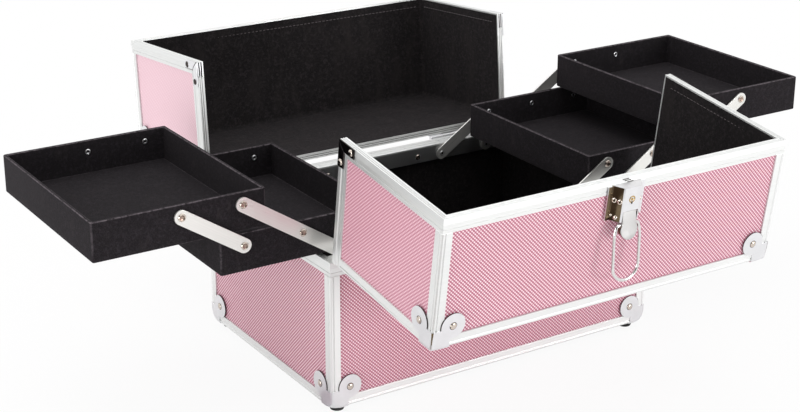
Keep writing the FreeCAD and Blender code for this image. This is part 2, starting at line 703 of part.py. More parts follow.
def latch_lever():
    # drawn round its pin, then tilted so that the tab stands off the lid; the tab is wider than its neck
    thin, gap, cheek = d["latch_wall"], d["lever_gap"], d["lever_cheek"]
    half = d["latch_width"] / 2 - thin - gap
    tilt = d["lever_tilt"]
    outer = d["latch_depth"] - d["lever_pin_depth"]
    top = (d["lever_pin_drop"] - d["latch_face"] - gap - outer * sine(tilt)) / cosine(tilt)
    inner = outer - thin
    low = top - d["lever_length"]
    bail_y, bail_z = d["lever_pin_drop"] - d["bail_drop"], d["bail_depth"] - d["lever_pin_depth"]
    eye = d["bail_wire"] + d["running_fit"]
    tip = d["lever_tip"]
    shoulder = top - d["lever_neck"]
    pieces = [box("lever_neck_plate", (-half, half), (shoulder, top), (inner, outer)),
              box("lever_plate", (-tip, tip), (low + tip, shoulder), (inner, outer)),
              rod("lever_tab", tip, "z", (inner, outer), y=low + tip)]
    for place, sign in (("a", -1), ("b", 1)):
        pieces.append(box("lever_cheek_" + place, mirrored(sign, cheek - thin, cheek),
                          (bail_y - eye - thin, d["hinge_pin"] + thin), (-d["hinge_pin"] - thin, inner)))
    bores = [rod("lever_bore", d["hinge_pin"] + d["running_fit"], "x", (-cheek - OVERCUT, cheek + OVERCUT)),
             rod("lever_eyes", eye, "x", (-tip - OVERCUT, tip + OVERCUT), y=bail_y, z=bail_z)]
    lever = cut("lever_form", fuse("lever_raw", pieces), bores)
    lid_node("front", "latch_lever", [hung(lever, -tilt, lever_pin_y, lever_pin_z)])


def latch_bail():
    # the bail hangs plumb from the lever's eyes, so it is turned back by the lid's lean
    wire, leg_x = d["bail_wire"], d["bail_width"] / 2
    straight = d["bail_length"] - leg_x
    loop = doc.addObject("Part::Torus", "bail_loop")
    bind(loop, "Radius1", leg_x)
    bind(loop, "Radius2", wire)
    loop.Angle3 = 180
    loop.Placement = FreeCAD.Placement(FreeCAD.Vector(), FreeCAD.Rotation(Z, 180))
    move(loop, 0, -straight, 0)
    pieces = [loop]
    inner = d["lever_cheek"] - d["latch_wall"]
    for place, sign in (("a", -1), ("b", 1)):
        pieces.append(rod("bail_leg_" + place, wire, "y", (-straight, 0), x=leg_x * sign))
        elbow = doc.addObject("Part::Sphere", "bail_elbow_" + place)
        bind(elbow, "Radius", wire)
        move(elbow, leg_x * sign, 0, 0)
        pieces.append(elbow)
        pieces.append(rod("bail_end_" + place, wire, "x", mirrored(sign, inner, leg_x)))
    bail_y, bail_z = d["lever_pin_drop"] - d["bail_drop"], d["bail_depth"] - d["lever_pin_depth"]
    tilt = d["lever_tilt"]
    eye_y = lever_pin_y + bail_y * cosine(tilt) + bail_z * sine(tilt)
    eye_z = lever_pin_z + bail_z * cosine(tilt) - bail_y * sine(tilt)
    hanging = hung(fuse("bail_form", pieces), RIGHT_ANGLE - d["front_lid_open"], eye_y, eye_z)
    lid_node("front", "latch_bail", [hanging])


# Strike and carry handle on the rear half's top panel

def latch_strike():
    half, lip, thick = d["strike_width"] / 2, d["strike_lip_width"] / 2, d["latch_wall"]
    near = lid_seam - d["latch_setback"]
    lip_y = lid_seam - d["strike_lip_inset"]
    high = lid_top + d["strike_lip_height"]
    plate = box("strike_plate", (-half, half), (near - d["strike_length"], near), (lid_top, lid_top + thick))
    riser = box("strike_riser", (-lip, lip), (lip_y, lip_y + thick), (lid_top, high))
    hook = box("strike_hook", (-lip, lip), (lip_y - d["bail_wire"] * 3, lip_y + thick), (high, high + thick))
    lid_node("rear", "latch_strike", [fuse("strike_form", [plate, riser, hook])])


def carry_handle():
    half = d["handle_span"] / 2
    grip, leg, stand = d["handle_grip"], d["handle_leg"], d["handle_stand"]
    pivot_y = lid_seam - d["handle_inset"]
    pivot_z = lid_top + grip + d["latch_wall"]
    inner = half + leg + d["head_gap"]
    outer = inner + stand
    brackets = []
    for place, sign in (("a", -1), ("b", 1)):
        across = mirrored(sign, inner, outer)
        foot = box("handle_foot_" + place, mirrored(sign, half - leg, outer + leg),
                   (pivot_y - d["handle_plate"] / 2, pivot_y + d["handle_plate"] / 2),
                   (panel_face, panel_face + d["latch_wall"]))
        upright = box("handle_stand_" + place, across, (pivot_y - leg, pivot_y + leg), (panel_face, pivot_z))
        head = rod("handle_stand_head_" + place, leg, "x", across, y=pivot_y, z=pivot_z)
        stud = rod("handle_stud_" + place, d["pin_radius"], "x", mirrored(sign, half - leg, outer),
                   y=pivot_y, z=pivot_z)
        brackets.append(fuse("handle_bracket_" + place, [foot, upright, head, stud]))
    lid_node("rear", "handle_brackets", brackets)
    # the handle hangs plumb from its studs
    pieces = [rod("handle_grip_bar", grip, "x", (-half - leg, half + leg), y=-d["handle_reach"])]
    bores = []
    for place, sign in (("a", -1), ("b", 1)):
        across = mirrored(sign, half - leg, half + leg)
        pieces.append(box("handle_side_" + place, across, (-d["handle_reach"], 0), (-leg, leg)))
        pieces.append(rod("handle_eye_" + place, leg, "x", across))
        bores.append(rod("handle_bore_" + place, d["pin_radius"] + d["running_fit"], "x",
                         mirrored(sign, half - leg - OVERCUT, half + leg + OVERCUT)))
    handle = cut("handle_form", fuse("handle_raw", pieces), bores)
    lid_node("rear", "carry_handle", [hung(handle, RIGHT_ANGLE - d["rear_lid_open"], pivot_y, pivot_z)])


# Trays and cantilever arms

TRAY_RIVET_LEVELS = {"lower": (0, 1, 2), "upper": (0, 1)}


def tray(side, sign, level, inner, bottom):
    label = "%s_%s_tray" % (side, level)
    depth = tray_half_depth
    thin = d["tray_wall"]
    pivot_z = bottom + d["pivot_height"]
    outer = box(label + "_outside", mirrored(sign, inner, inner + tray_width), (-depth, depth),
                (bottom, bottom + d["tray_height"]))
    hollow = box(label + "_inside", mirrored(sign, inner + thin, inner + tray_width - thin),
                 (-depth + thin, depth - thin), (bottom + thin, bottom + d["tray_height"] + OVERCUT))
    holes, rivets = [], []
    head = arm_plane + d["arm_thick"] + d["head_gap"]
    for step in TRAY_RIVET_LEVELS[level]:
        x = (inner + pivot_inset + reach * step) * sign
        holes.append(rod("%s_hole%d" % (label, step), d["pin_radius"], "y",
                         (-depth - OVERCUT, depth + OVERCUT), x=x, z=pivot_z))
        for way, end in ((-1, "front"), (1, "rear")):
            rivets.append(pivot_rivet("%s_rivet_%s%d" % (label, end, step), x, pivot_z, way, [
                (d["pin_head"], depth - thin - d["pin_head_thick"] / 2, depth - thin),
                (d["pin_radius"], depth - thin - d["pin_head_thick"] / 2, head + d["pin_head_thick"]),
                (d["pin_head"], head, head + d["pin_head_thick"])]))
    node(label, [cut(label + "_tub", outer, [hollow] + holes)])
    node(label + "_rivets", rivets)


def arm(name, x, z, sign, way, stages):
    # a flat bar with a hole at every pivot, drawn along +X and tilted about Y
    length = arm_pitch * stages
    half = d["arm_width"] / 2
    thick = mirrored(way, arm_plane, arm_plane + d["arm_thick"])
    pieces = [box(name + "_bar", (0, length), thick, (-half, half)),
              rod(name + "_end0", half, "y", thick), rod(name + "_end1", half, "y", thick, x=length)]
    holes = [rod("%s_hole%d" % (name, i), d["pin_radius"] + d["running_fit"], "y",
                 (thick[0] - OVERCUT, thick[1] + OVERCUT), x=arm_pitch * i) for i in range(stages + 1)]
    bar = cut(name, fuse(name + "_raw", pieces), holes)
    bar.Placement = FreeCAD.Placement(FreeCAD.Vector(), FreeCAD.Rotation(-Y, 1))
    bind(bar, "Placement.Rotation.Angle", arm_angle if sign > 0 else 180 - arm_angle)
    move(bar, x * sign, 0, z)
    return bar


def trays_and_arms():
    outer_short_x = long_arm_x + reach * 2
    arms = (("long_arms", long_arm_x, base_pivot_z, 2), ("lower_arms", short_arm_x, base_pivot_z, 1),
            ("upper_arms", outer_short_x, lower_pivot_z, 1))
    for side, sign in (("left", -1), ("right", 1)):
        tray(side, sign, "lower", lower_tray_inner, lower_tray_bottom)
        tray(side, sign, "upper", upper_tray_inner, upper_tray_bottom)
        for kind, x, z, stages in arms:
            label = side + "_" + kind
            node(label, [arm("%s_%s" % (label, end), x, z, sign, way, stages)
                         for end, way in (("front", -1), ("rear", 1))])


base_panels()
base_frame()
base_corners()
pivot_strips()
base_hinges()
for lid_half in ("front", "rear"):
    lid_panels(lid_half)
    lid_frame(lid_half)
    lid_corners(lid_half)
    lid_hinges(lid_half)
latch_housing()
lock_plug()
latch_lever()
latch_bail()
latch_strike()
carry_handle()
trays_and_arms()

doc.recompute()

# Every object has to be sound before anything is written

for obj in doc.Objects:
    if "Invalid" in obj.State or "Error" in obj.State:
        raise RuntimeError("%s did not build: %s" % (obj.Label, obj.State))
for obj in nodes:
    if obj.Shape.isNull() or not obj.Shape.isValid():
        raise RuntimeError("%s has no sound shape" % obj.Label)
    if not obj.Shape.Solids:
        raise RuntimeError("%s has no solid" % obj.Label)

os.makedirs("parts", exist_ok=True)
for obj in nodes:
    obj.Shape.exportStep("parts/%s.step" % obj.Label)
    bounds = obj.Shape.BoundBox
    print("%-28s %2d solids  %9.1f mm3  z %.1f to %.1f" % (
        obj.Label, len(obj.Shape.Solids), obj.Shape.Volume, bounds.ZMin, bounds.ZMax))
print(len(nodes), "nodes")
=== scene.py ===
import json
from math import acos, asin, atan2, cos, pi, radians, sin, sqrt

import bmesh
import bpy
import numpy as np
from mathutils import Matrix, Vector


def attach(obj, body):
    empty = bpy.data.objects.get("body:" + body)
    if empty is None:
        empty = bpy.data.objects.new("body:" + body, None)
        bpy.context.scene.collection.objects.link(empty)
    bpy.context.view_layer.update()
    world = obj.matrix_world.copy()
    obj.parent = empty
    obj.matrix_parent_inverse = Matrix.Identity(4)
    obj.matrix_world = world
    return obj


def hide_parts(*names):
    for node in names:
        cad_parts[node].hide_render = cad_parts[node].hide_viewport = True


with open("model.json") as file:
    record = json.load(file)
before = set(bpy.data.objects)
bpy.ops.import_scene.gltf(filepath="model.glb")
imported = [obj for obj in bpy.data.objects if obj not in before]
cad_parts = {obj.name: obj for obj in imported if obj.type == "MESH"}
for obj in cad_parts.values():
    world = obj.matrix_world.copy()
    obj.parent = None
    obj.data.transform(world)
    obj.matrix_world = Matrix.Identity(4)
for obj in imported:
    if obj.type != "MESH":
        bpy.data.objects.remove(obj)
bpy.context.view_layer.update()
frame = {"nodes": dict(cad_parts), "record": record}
record = frame["record"]
bodyOf = {node: body for body, nodes in record["behaviour"]["bodies"].items() for node in nodes}
print("frame loaded,", len(frame["nodes"]), "nodes")

# The case in millimetres, as the solids have it
case = dict(halfWidth=180, halfDepth=118, bottom=7, top=148, hingeOut=2.6, gap=0.15, lidHeight=156,
            frontOpen=98, rearOpen=95, wall=1.5, board=5.5, floorBoard=4, inside=6.7, sheet=0.8)
halfWidth, halfDepth = case["halfWidth"], case["halfDepth"]
lidFace = case["hingeOut"]
lidSeam = lidFace + halfDepth - case["gap"]
lidLow = case["gap"]
lidTop = lidLow + case["lidHeight"]
upright = Matrix.Identity(4)
halves = ("front", "rear")
sides = (("left", -1), ("right", 1))
metres = 0.001                                             # one millimetre


def lidFrame(half):
    # from a closed lid half, measured from its hinge line, to where it lies open
    opened = Matrix.Translation((0, -halfDepth - case["hingeOut"], case["top"] + case["gap"]))
    opened = opened @ Matrix.Rotation(radians(case[half + "Open"]), 4, "X")
    return opened if half == "front" else Matrix.Rotation(pi, 4, "Z") @ opened


def facing(point, normal):
    # local Z stands out along the normal
    turn = Vector((0, 0, 1)).rotation_difference(Vector(normal)).to_matrix().to_4x4()
    return Matrix.Translation(point) @ turn


def around(radius, degrees):
    # a point on a circle about the origin
    return radius * cos(radians(degrees)), radius * sin(radians(degrees))


# Shader maths: a socket that adds Math nodes when it is used in an expression

class Wire:
    def __init__(self, nodes, socket):
        self.nodes, self.socket = nodes, socket

    def other(self, name):
        return Wire(self.nodes, self.socket.node.outputs[name])

    def maths(self, operation, first, second=0.0):
        return self.nodes.add("Math", {"operation": operation}, {0: first, 1: second})

    def __add__(self, more):
        return self.maths("ADD", self, more)

    def __radd__(self, more):
        return self.maths("ADD", more, self)

    def __sub__(self, less):
        return self.maths("SUBTRACT", self, less)

    def __rsub__(self, whole):
        return self.maths("SUBTRACT", whole, self)

    def __mul__(self, times):
        return self.maths("MULTIPLY", self, times)

    def __rmul__(self, times):
        return self.maths("MULTIPLY", times, self)

    def sine(self):
        return self.maths("SINE", self)

    def most(self, rival):
        return self.maths("MAXIMUM", self, rival)


class Nodes:
    # the nodes of one tree
    def __init__(self, tree):
        self.tree = tree

    def join(self, socket, value):
        if isinstance(value, Wire):
            self.tree.links.new(value.socket, socket)
        else:
            socket.default_value = value

    def add(self, kind, settings=None, sockets=None, out=0):
        node = self.tree.nodes.new("ShaderNode" + kind)
        for key, value in (settings or {}).items():
            setattr(node, key, value)
        for key, value in (sockets or {}).items():
            self.join(node.inputs[key], value)
        return Wire(self, node.outputs[out])

    def rays(self, camera=1.0, glossy=1.0, through=1.0):
        # how much is shown to the camera, in reflections and through clear parts
        seen = self.add("LightPath", out="Is Camera Ray")
        shown = (seen * camera).most(seen.other("Is Glossy Ray") * glossy)
        return shown.most(seen.other("Is Transmission Ray") * through)


class Look(Nodes):
    # one procedural material round a Principled shader; fixed numbers sit on the shader itself
    def __init__(self, name, **fixed):
        self.material = bpy.data.materials.new(name)
        self.material.use_nodes = True
        super().__init__(self.material.node_tree)
        self.shader = self.tree.nodes["Principled BSDF"]
        self.feed(**fixed)

    def feed(self, **sockets):
        for socket, value in sockets.items():
            self.join(self.shader.inputs[socket.replace("_", " ")], value)

    def blend(self, mask, first, second):
        return self.add("Mix", {"data_type": "RGBA"}, {0: mask, 6: first, 7: second}, out=2)

    def place(self, scale=(1, 1, 1)):
        spot = self.add("TexCoord", out="Object")
        return self.add("Mapping", {}, {"Vector": spot, "Scale": scale})

    def along(self, name, scale):
        spot = self.add("UVMap", {"uv_map": name})
        return self.add("Mapping", {}, {"Vector": spot, "Scale": scale})

    def cloud(self, where, scale, detail=3.0, rough=0.5):
        return self.add("TexNoise", {}, {"Vector": where, "Scale": scale, "Detail": detail, "Roughness": rough})

    def step(self, value, low, high):
        return self.add("MapRange", {"interpolation_type": "SMOOTHSTEP"},
                        {"Value": value, "From Min": low, "From Max": high})

    def bump(self, height, strength, distance):
        self.feed(Normal=self.add("Bump", {}, {"Height": height, "Strength": strength, "Distance": distance}))


def tone(red, green, blue):
    # an 8-bit screen colour as the linear value that a shader takes
    def linear(part):
        part /= 255
        return part / 12.92 if part <= 0.04045 else ((part + 0.055) / 1.055) ** 2.4
    return (linear(red), linear(green), linear(blue), 1)


def shaded(tint, share):
    return tuple(part * (1 - share) for part in tint[:3]) + (1,)


# Finishes

# The embossed board: the deeper pink in the grooves is painted shade, the near-white on the knob tops a painted
# highlight, and the two even tones are painted glare and painted shade.
pinkBoard = dict(pitch=0.00244, light=tone(238, 203, 212), deep=tone(172, 97, 119), sheen=tone(255, 250, 252),
                 mottle=tone(218, 156, 174), paintedLightTone=tone(239, 206, 215), shade=tone(203, 147, 162),
                 emboss=0.55, height=0.00022, roughness=0.42)


def makePinkBoard(name, paintedLightShare=0.0, paintedLightTone="paintedLightTone"):
    # the second argument is how far the embossed pattern is lost in an even tone, the third which tone: the pale one is
    # painted glare, the darker one painted shade
    look = Look(name, Specular_IOR_Level=0.45)
    flat = look.add("UVMap", {"uv_map": "flat"})
    split = look.add("SeparateXYZ", {}, {"Vector": flat})
    across, up = split.other("X"), split.other("Y")
    turn = 2 * pi / (pinkBoard["pitch"] * sqrt(2))
    rising = ((across + up) * turn).sine() * 0.5 + 0.5
    falling = ((across - up) * turn).sine() * 0.5 + 0.5
    knob = rising * (falling * 0.8 + 0.2)                  # small raised diamonds, drawn out one way
    groove = 1 - rising.most(falling * 0.98)
    mottle = look.cloud(look.place(), 34, 4)
    grit = look.cloud(look.place(), 1500, 2)
    # the grooves between the raised diamonds are darker: painted shade
    color = look.blend(look.step(knob, 0.08, 0.58), pinkBoard["deep"], pinkBoard["light"])
    # the knob tops go near white: a painted highlight
    color = look.blend(look.step(knob, 0.6, 0.95) * 0.9, color, pinkBoard["sheen"])
    color = look.blend((mottle - 0.5) * 0.2 + 0.04, color, pinkBoard["mottle"])
    # the even tone: painted glare on the rear lid's sides, painted shade on the front lid's sides
    color = look.blend(paintedLightShare, color, pinkBoard[paintedLightTone])
    look.feed(Base_Color=color, Roughness=pinkBoard["roughness"] + groove * 0.16 + (grit - 0.5) * 0.12)
    look.bump(knob + grit * 0.08, pinkBoard["emboss"] * (1 - paintedLightShare), pinkBoard["height"])
    return look.material


suede = dict(dark=tone(16, 15, 15), nap=tone(40, 37, 38), fleck=tone(58, 52, 54), rub=tone(40, 36, 36),
             sheen=tone(150, 140, 148))


def makeSuede():
    look = Look("suede", Roughness=0.95, Specular_IOR_Level=0.15, Sheen_Weight=0.1, Sheen_Roughness=0.45,
                Sheen_Tint=suede["sheen"])
    spot = look.place()
    fibre = look.cloud(spot, 1700, 3, 0.65)
    brush = look.cloud(look.place((1, 1, 0.35)), 60, 5, 0.6)
    fleck = look.cloud(spot, 260, 3, 0.75)
    color = look.blend(look.step(fibre, 0.36, 0.72), suede["dark"], suede["nap"])
    color = look.blend(look.step(fleck, 0.45, 0.7) * 0.5, color, suede["fleck"])
    color = look.blend(look.step(brush, 0.45, 0.75) * 0.7, color, suede["rub"])
    look.feed(Base_Color=color, Roughness=0.98 - brush * 0.14)
    look.bump(fibre + brush * 0.5, 0.45, 0.0004)
    return look.material


trayCloth = dict(dark=tone(20, 18, 20), nap=tone(41, 37, 40), lighter=tone(118, 110, 115), fleck=tone(60, 55, 61),
                 rub=tone(54, 49, 50), sheen=tone(150, 142, 148), weave=0.0007)


def makeTrayCloth():
    # close weave with fine flecks and rubbed streaks, paler on the edges and corners: partly wear, partly painted
    # highlight
    look = Look("trayCloth", Roughness=0.95, Specular_IOR_Level=0.15, Sheen_Weight=0.08, Sheen_Roughness=0.5,
                Sheen_Tint=trayCloth["sheen"])
    spot = look.place()
    fibre = look.cloud(spot, 1500, 3, 0.7)
    patch = look.cloud(spot, 28, 4, 0.6)
    split = look.add("SeparateXYZ", {}, {"Vector": spot})
    turn = 2 * pi / trayCloth["weave"]
    overX, overY, overZ = ((split.other(axis) * turn).sine() for axis in "XYZ")
    weave = overX * overY * overZ
    fleck = look.cloud(spot, 330, 3, 0.75)
    streak = look.cloud(look.place((1, 1, 0.3)), 130, 4, 0.65)
    lighter = look.add("Attribute", {"attribute_name": "lighter"}, out="Fac")
    rubbed = look.step(streak, 0.5, 0.75) * look.step(patch, 0.4, 0.65)
    color = look.blend(look.step(fibre, 0.38, 0.72), trayCloth["dark"], trayCloth["nap"])
    color = look.blend(look.step(fleck, 0.46, 0.7) * 0.28, color, trayCloth["fleck"])
    color = look.blend(rubbed * 0.4, color, trayCloth["rub"])
    # paler edges and corners: partly wear, partly painted highlight where they catch the light
    color = look.blend(lighter * look.step(fleck, 0.3, 0.62) * 0.6, color, trayCloth["lighter"])
    look.feed(Base_Color=color, Roughness=0.97 - patch * 0.1)
    look.bump(fibre + weave * 0.25, 0.4, 0.0003)
    return look.material


metal = dict(dentDeep=0.00006, rubFrom=0.52, rubTo=0.78)


def makeBarMetal(name, tint, roughness, streak, pace=(3, 1400, 1), wear=0.06, share=1.0, dent=0.12):
    # drawn or brushed metal: fine lines along the bar, with a few rubbed patches; share: how metallic it is
    look = Look(name, Metallic=share)
    lines = look.cloud(look.along("grain", pace), 1.0, 3, 0.6)
    patch = look.cloud(look.place(), 42, 4, 0.55)
    rub = look.step(patch, metal["rubFrom"], metal["rubTo"])
    color = look.blend(look.step(lines, 0.3, 0.7), shaded(tint, streak), tint)
    look.feed(Base_Color=color, Roughness=roughness + (lines - 0.5) * 0.16 + rub * wear)
    look.bump(lines, dent, metal["dentDeep"])
    return look.material


def makeStampedMetal(name, tint, roughness, dent=0.10, spot=0.05):
    # pressed or turned plate: fine orange peel and faint handling marks
    look = Look(name, Metallic=1.0)
    peel = look.cloud(look.place(), 900, 2)
    patch = look.cloud(look.place(), 70, 4, 0.6)
    look.feed(Base_Color=look.blend(look.step(patch, 0.35, 0.7), shaded(tint, spot), tint),
              Roughness=roughness + (patch - 0.5) * 0.14 + (peel - 0.5) * 0.06)
    look.bump(peel + patch, dent, metal["dentDeep"])
    return look.material


rubber = dict(dark=tone(22, 22, 23), dust=tone(62, 60, 60), roughness=0.68)


def makeRubber():
    look = Look("footRubber", Specular_IOR_Level=0.35)
    spot = look.place()
    grit, dust = look.cloud(spot, 1300, 3), look.cloud(spot, 120, 4, 0.6)
    look.feed(Base_Color=look.blend(look.step(dust, 0.5, 0.8) * 0.5, rubber["dark"], rubber["dust"]),
              Roughness=rubber["roughness"] + (grit - 0.5) * 0.2)
    look.bump(grit, 0.25, 0.0002)
    return look.material


plastic = dict(dark=tone(24, 24, 26), lighter=tone(46, 45, 48), roughness=0.46)


def makeMouldedPlastic():
    look = Look("handlePlastic", Specular_IOR_Level=0.5)
    spot = look.place()
    spark, wear = look.cloud(spot, 1100, 2), look.cloud(spot, 60, 4, 0.6)
    look.feed(Base_Color=look.blend(look.step(wear, 0.5, 0.8) * 0.4, plastic["dark"], plastic["lighter"]),
              Roughness=plastic["roughness"] + (spark - 0.5) * 0.2 + (wear - 0.5) * 0.15)
    look.bump(spark, 0.3, 0.00015)
    return look.material


def makePaintedGapShade(name, low, high):
    # the dark bottom of a slit, a hole or a hollow rivet, and the strips beside the bracket ears: painted shade
    look = Look(name, Specular_IOR_Level=0.2)
    dust = look.cloud(look.place(), 800, 3)
    look.feed(Base_Color=look.blend(dust, low, high), Roughness=0.7 + (dust - 0.5) * 0.3)
    return look.material


def makeThread():
    look = Look("stitchThread", Roughness=0.85, Sheen_Weight=0.3)
    ply = look.cloud(look.place(), 2200, 2)
    look.feed(Base_Color=look.blend(ply, tone(58, 52, 54), tone(104, 94, 96)))
    look.bump(ply, 0.4, 0.0002)
    return look.material


finishes = dict(
    # the rear lid's sides are pale and even, painted glare; the front lid's sides are darker, painted shade
    pink=makePinkBoard("pinkBoard"), paintedGlarePink=makePinkBoard("paintedGlarePinkBoard", 0.72),
    paintedShadePink=makePinkBoard("paintedShadePinkBoard", 0.4, "shade"),
    suede=makeSuede(), cloth=makeTrayCloth(),
    frameBar=makeBarMetal("satinBar", tone(236, 237, 236), 0.46, 0.05, share=0.85),
    # the darker tint on the rims' groove bottoms is painted shade
    groove=makeBarMetal("paintedGrooveShade", tone(122, 119, 117), 0.55, 0.1),
    armBar=makeBarMetal("brushedArm", tone(230, 229, 225), 0.3, 0.05, pace=(5, 900, 1), wear=0.05, share=0.74,
                        dent=0.03),
    # the pivot strips' darker tint is painted shade on their upright faces
    stripBar=makeBarMetal("stripBar", tone(178, 179, 180), 0.42, 0.1),
    stamped=makeStampedMetal("stampedPlate", tone(236, 236, 238), 0.32),
    dullPlate=makeStampedMetal("dullPlate", tone(214, 213, 214), 0.5),
    leverPlate=makeStampedMetal("leverPlate", tone(190, 189, 188), 0.5),
    chrome=makeStampedMetal("polishedChrome", tone(228, 227, 226), 0.1, dent=0.04),
    nickel=makeStampedMetal("warmNickel", tone(214, 203, 192), 0.1, dent=0.04),
    warmDish=makeStampedMetal("warmDish", tone(170, 150, 138), 0.3, spot=0.2),
    # a dark warm tint for the latch's sides, the left flange's top, the studs' hollows and the lever's edges: painted
    # dark reflection and painted shade
    smoked=makeStampedMetal("paintedShadeNickelPlate", tone(122, 106, 84), 0.1, dent=0.05, spot=0.35),
    # dark clip faces, lines and rivet heads: painted dark reflections
    darkChrome=makeStampedMetal("darkChrome", tone(76, 70, 68), 0.13, dent=0.04, spot=0.3),
    # dark along the ears' edges and in the rings round the rivet heads: painted shade
    cutEdge=makeStampedMetal("cutEdge", tone(92, 88, 88), 0.5, spot=0.2),
    brass=makeStampedMetal("lockBrass", tone(206, 172, 104), 0.22, spot=0.25),
    # the dark tones for gaps, holes and slits are painted shade
    gap=makePaintedGapShade("paintedGapShade", tone(20, 17, 15), tone(58, 50, 42)),
    slit=makePaintedGapShade("paintedSlitShade", tone(66, 55, 36), tone(108, 92, 64)),
    rubber=makeRubber(), plastic=makeMouldedPlastic(), thread=makeThread())
print("finishes made,", len(finishes))


# Mesh helpers, all in millimetres until a piece is finished

def ring(halfX, halfY, radius, z, steps=6, centre=(0, 0)):
    # a rounded rectangle, anticlockwise
    points = []
    for corner, (sx, sy) in enumerate(((1, -1), (1, 1), (-1, 1), (-1, -1))):
        for i in range(steps + 1):
            x, y = around(radius, -90 + corner * 90 + 90 * i / steps)
            points.append(Vector((centre[0] + sx * (halfX - radius) + x, centre[1] + sy * (halfY - radius) + y, z)))
    return points


def loft(bm, loops, startCap=True, endCap=True, closed=True):
    rows = [[bm.verts.new(point) for point in loop] for loop in loops]
    count = len(rows[0])
    faces = []
    for low, high in zip(rows, rows[1:]):
        for i in range(count if closed else count - 1):
            j = (i + 1) % count
            faces.append(bm.faces.new((low[i], low[j], high[j], high[i])))
    if startCap:
        faces.append(bm.faces.new(list(reversed(rows[0]))))
    if endCap:
        faces.append(bm.faces.new(rows[-1]))
    return rows, faces


def turned(bm, where, profile, steps=28, hollow=0, hollowLook=1, look=0):
    # a lathe-turned form round local Z; profile is (radius, height) and may start and end on the axis;
    # faces inside the hollow's radius take another finish
    rows = []
    for radius, height in profile:
        spokes = [around(radius, 360 * i / steps) for i in range(steps)] if radius else [(0, 0)]
        rows.append([bm.verts.new(where @ Vector((x, y, height))) for x, y in spokes])
    for k, (low, high) in enumerate(zip(rows, rows[1:])):
        inside = max(profile[k][0], profile[k + 1][0]) <= hollow
        for i in range(steps):
            j = (i + 1) % steps
            corners = [low[i % len(low)], low[j % len(low)], high[j % len(high)], high[i % len(high)]]
            bm.faces.new(list(dict.fromkeys(corners))).material_index = hollowLook if inside else look


def sweep(bm, path, section, steps=14):
    # a tube along a level path; section gives (half width, half height) at each point
    side = Vector((0, 0, 1))
    loops = []
    for i, (point, (wide, high)) in enumerate(zip(path, section)):
        ahead = (path[min(i + 1, len(path) - 1)] - path[max(i - 1, 0)]).normalized()
        out = ahead.cross(side).normalized()
        spokes = [around(1, 360 * k / steps) for k in range(steps)]
        loops.append([point + out * wide * x + side * high * y for x, y in spokes])
    loft(bm, loops)


def block(bm, x, y, z):
    corners = [bm.verts.new((a, b, c)) for a in x for b in y for c in z]
    for face in ((0, 1, 3, 2), (4, 6, 7, 5), (0, 4, 5, 1), (2, 3, 7, 6), (0, 2, 6, 4), (1, 5, 7, 3)):
        bm.faces.new([corners[i] for i in face])
    return corners


def facesOf(verts):
    return {face for vert in verts for face in vert.link_faces}


def soften(bm, width):
    # eases every edge that turns by more than 28 degrees
    sharp = [edge for edge in bm.edges if len(edge.link_faces) == 2 and edge.calc_face_angle(0) > radians(28)]
    bmesh.ops.bevel(bm, geom=sharp, offset=width, offset_type="OFFSET", segments=2, profile=0.6,
                    affect="EDGES", clamp_overlap=True)


def grainMap(bm):
    # lays a map along the longest way of each bar, so that drawn lines follow it
    layer = bm.loops.layers.uv.new("grain")
    seen = set()
    for start in bm.faces:
        if start in seen:
            continue
        island, queue = [], [start]
        seen.add(start)
        while queue:
            face = queue.pop()
            island.append(face)
            for edge in face.edges:
                for near in edge.link_faces:
                    if near not in seen:
                        seen.add(near)
                        queue.append(near)
        points = np.array([vert.co for vert in {vert for face in island for vert in face.verts}])
        axis = Vector(np.linalg.eigh(np.cov((points - points.mean(0)).T))[1][:, -1])
        for face in island:
            side = face.normal.cross(axis)
            side = side.normalized() if side.length > 0.05 else face.normal.orthogonal().normalized()
            for loop in face.loops:
                loop[layer].uv = (loop.vert.co.dot(axis), loop.vert.co.dot(side))


def addObject(name, data):
    thing = bpy.data.objects.new(name, data)
    bpy.context.scene.collection.objects.link(thing)
    return thing


def addMesh(name, bm, looks):
    mesh = bpy.data.meshes.new(name)
    bm.to_mesh(mesh)
    bm.free()
    for look in looks:
        mesh.materials.append(look)
    return addObject(name, mesh)


def finishPiece(name, bm, where, look, node, smooth=32, grain=False, alone=False):
    # millimetres to metres, in place, on the body of the node that it stands for or, if alone, lies on
    if where is not None:
        bmesh.ops.transform(bm, matrix=Matrix.Scale(metres, 4) @ where, verts=bm.verts[:])
    bmesh.ops.recalc_face_normals(bm, faces=bm.faces[:])
    if grain:
        bm.normal_update()
        grainMap(bm)
    piece = addMesh(name, bm, [finishes[part] for part in look.split()])
    piece.data.polygons.foreach_set("use_smooth", [True] * len(piece.data.polygons))
    piece.data.set_sharp_from_angle(angle=radians(smooth))
    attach(piece, bodyOf[node])
    if not alone:
        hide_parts(node)


def softenedNode(node, look, width):
    # a node whose shape is right, with its sharp edges eased and a grain along each bar
    bm = bmesh.new()
    bm.from_mesh(frame["nodes"][node].data)
    bmesh.ops.remove_doubles(bm, verts=bm.verts[:], dist=2e-6)
    bmesh.ops.dissolve_limit(bm, angle_limit=radians(0.5), verts=bm.verts[:], edges=bm.edges[:])
    soften(bm, width * metres)
    finishPiece(node + "Eased", bm, None, look, node, smooth=20, grain=True)


# Boards: pink skins with a flat map in metres for the embossed crosshatch

# the lid sides take the board with painted shade (front) and the board with painted glare (rear)
skin = dict(cutCorner=8, ease=0.3, front="paintedShadePink", rear="paintedGlarePink")


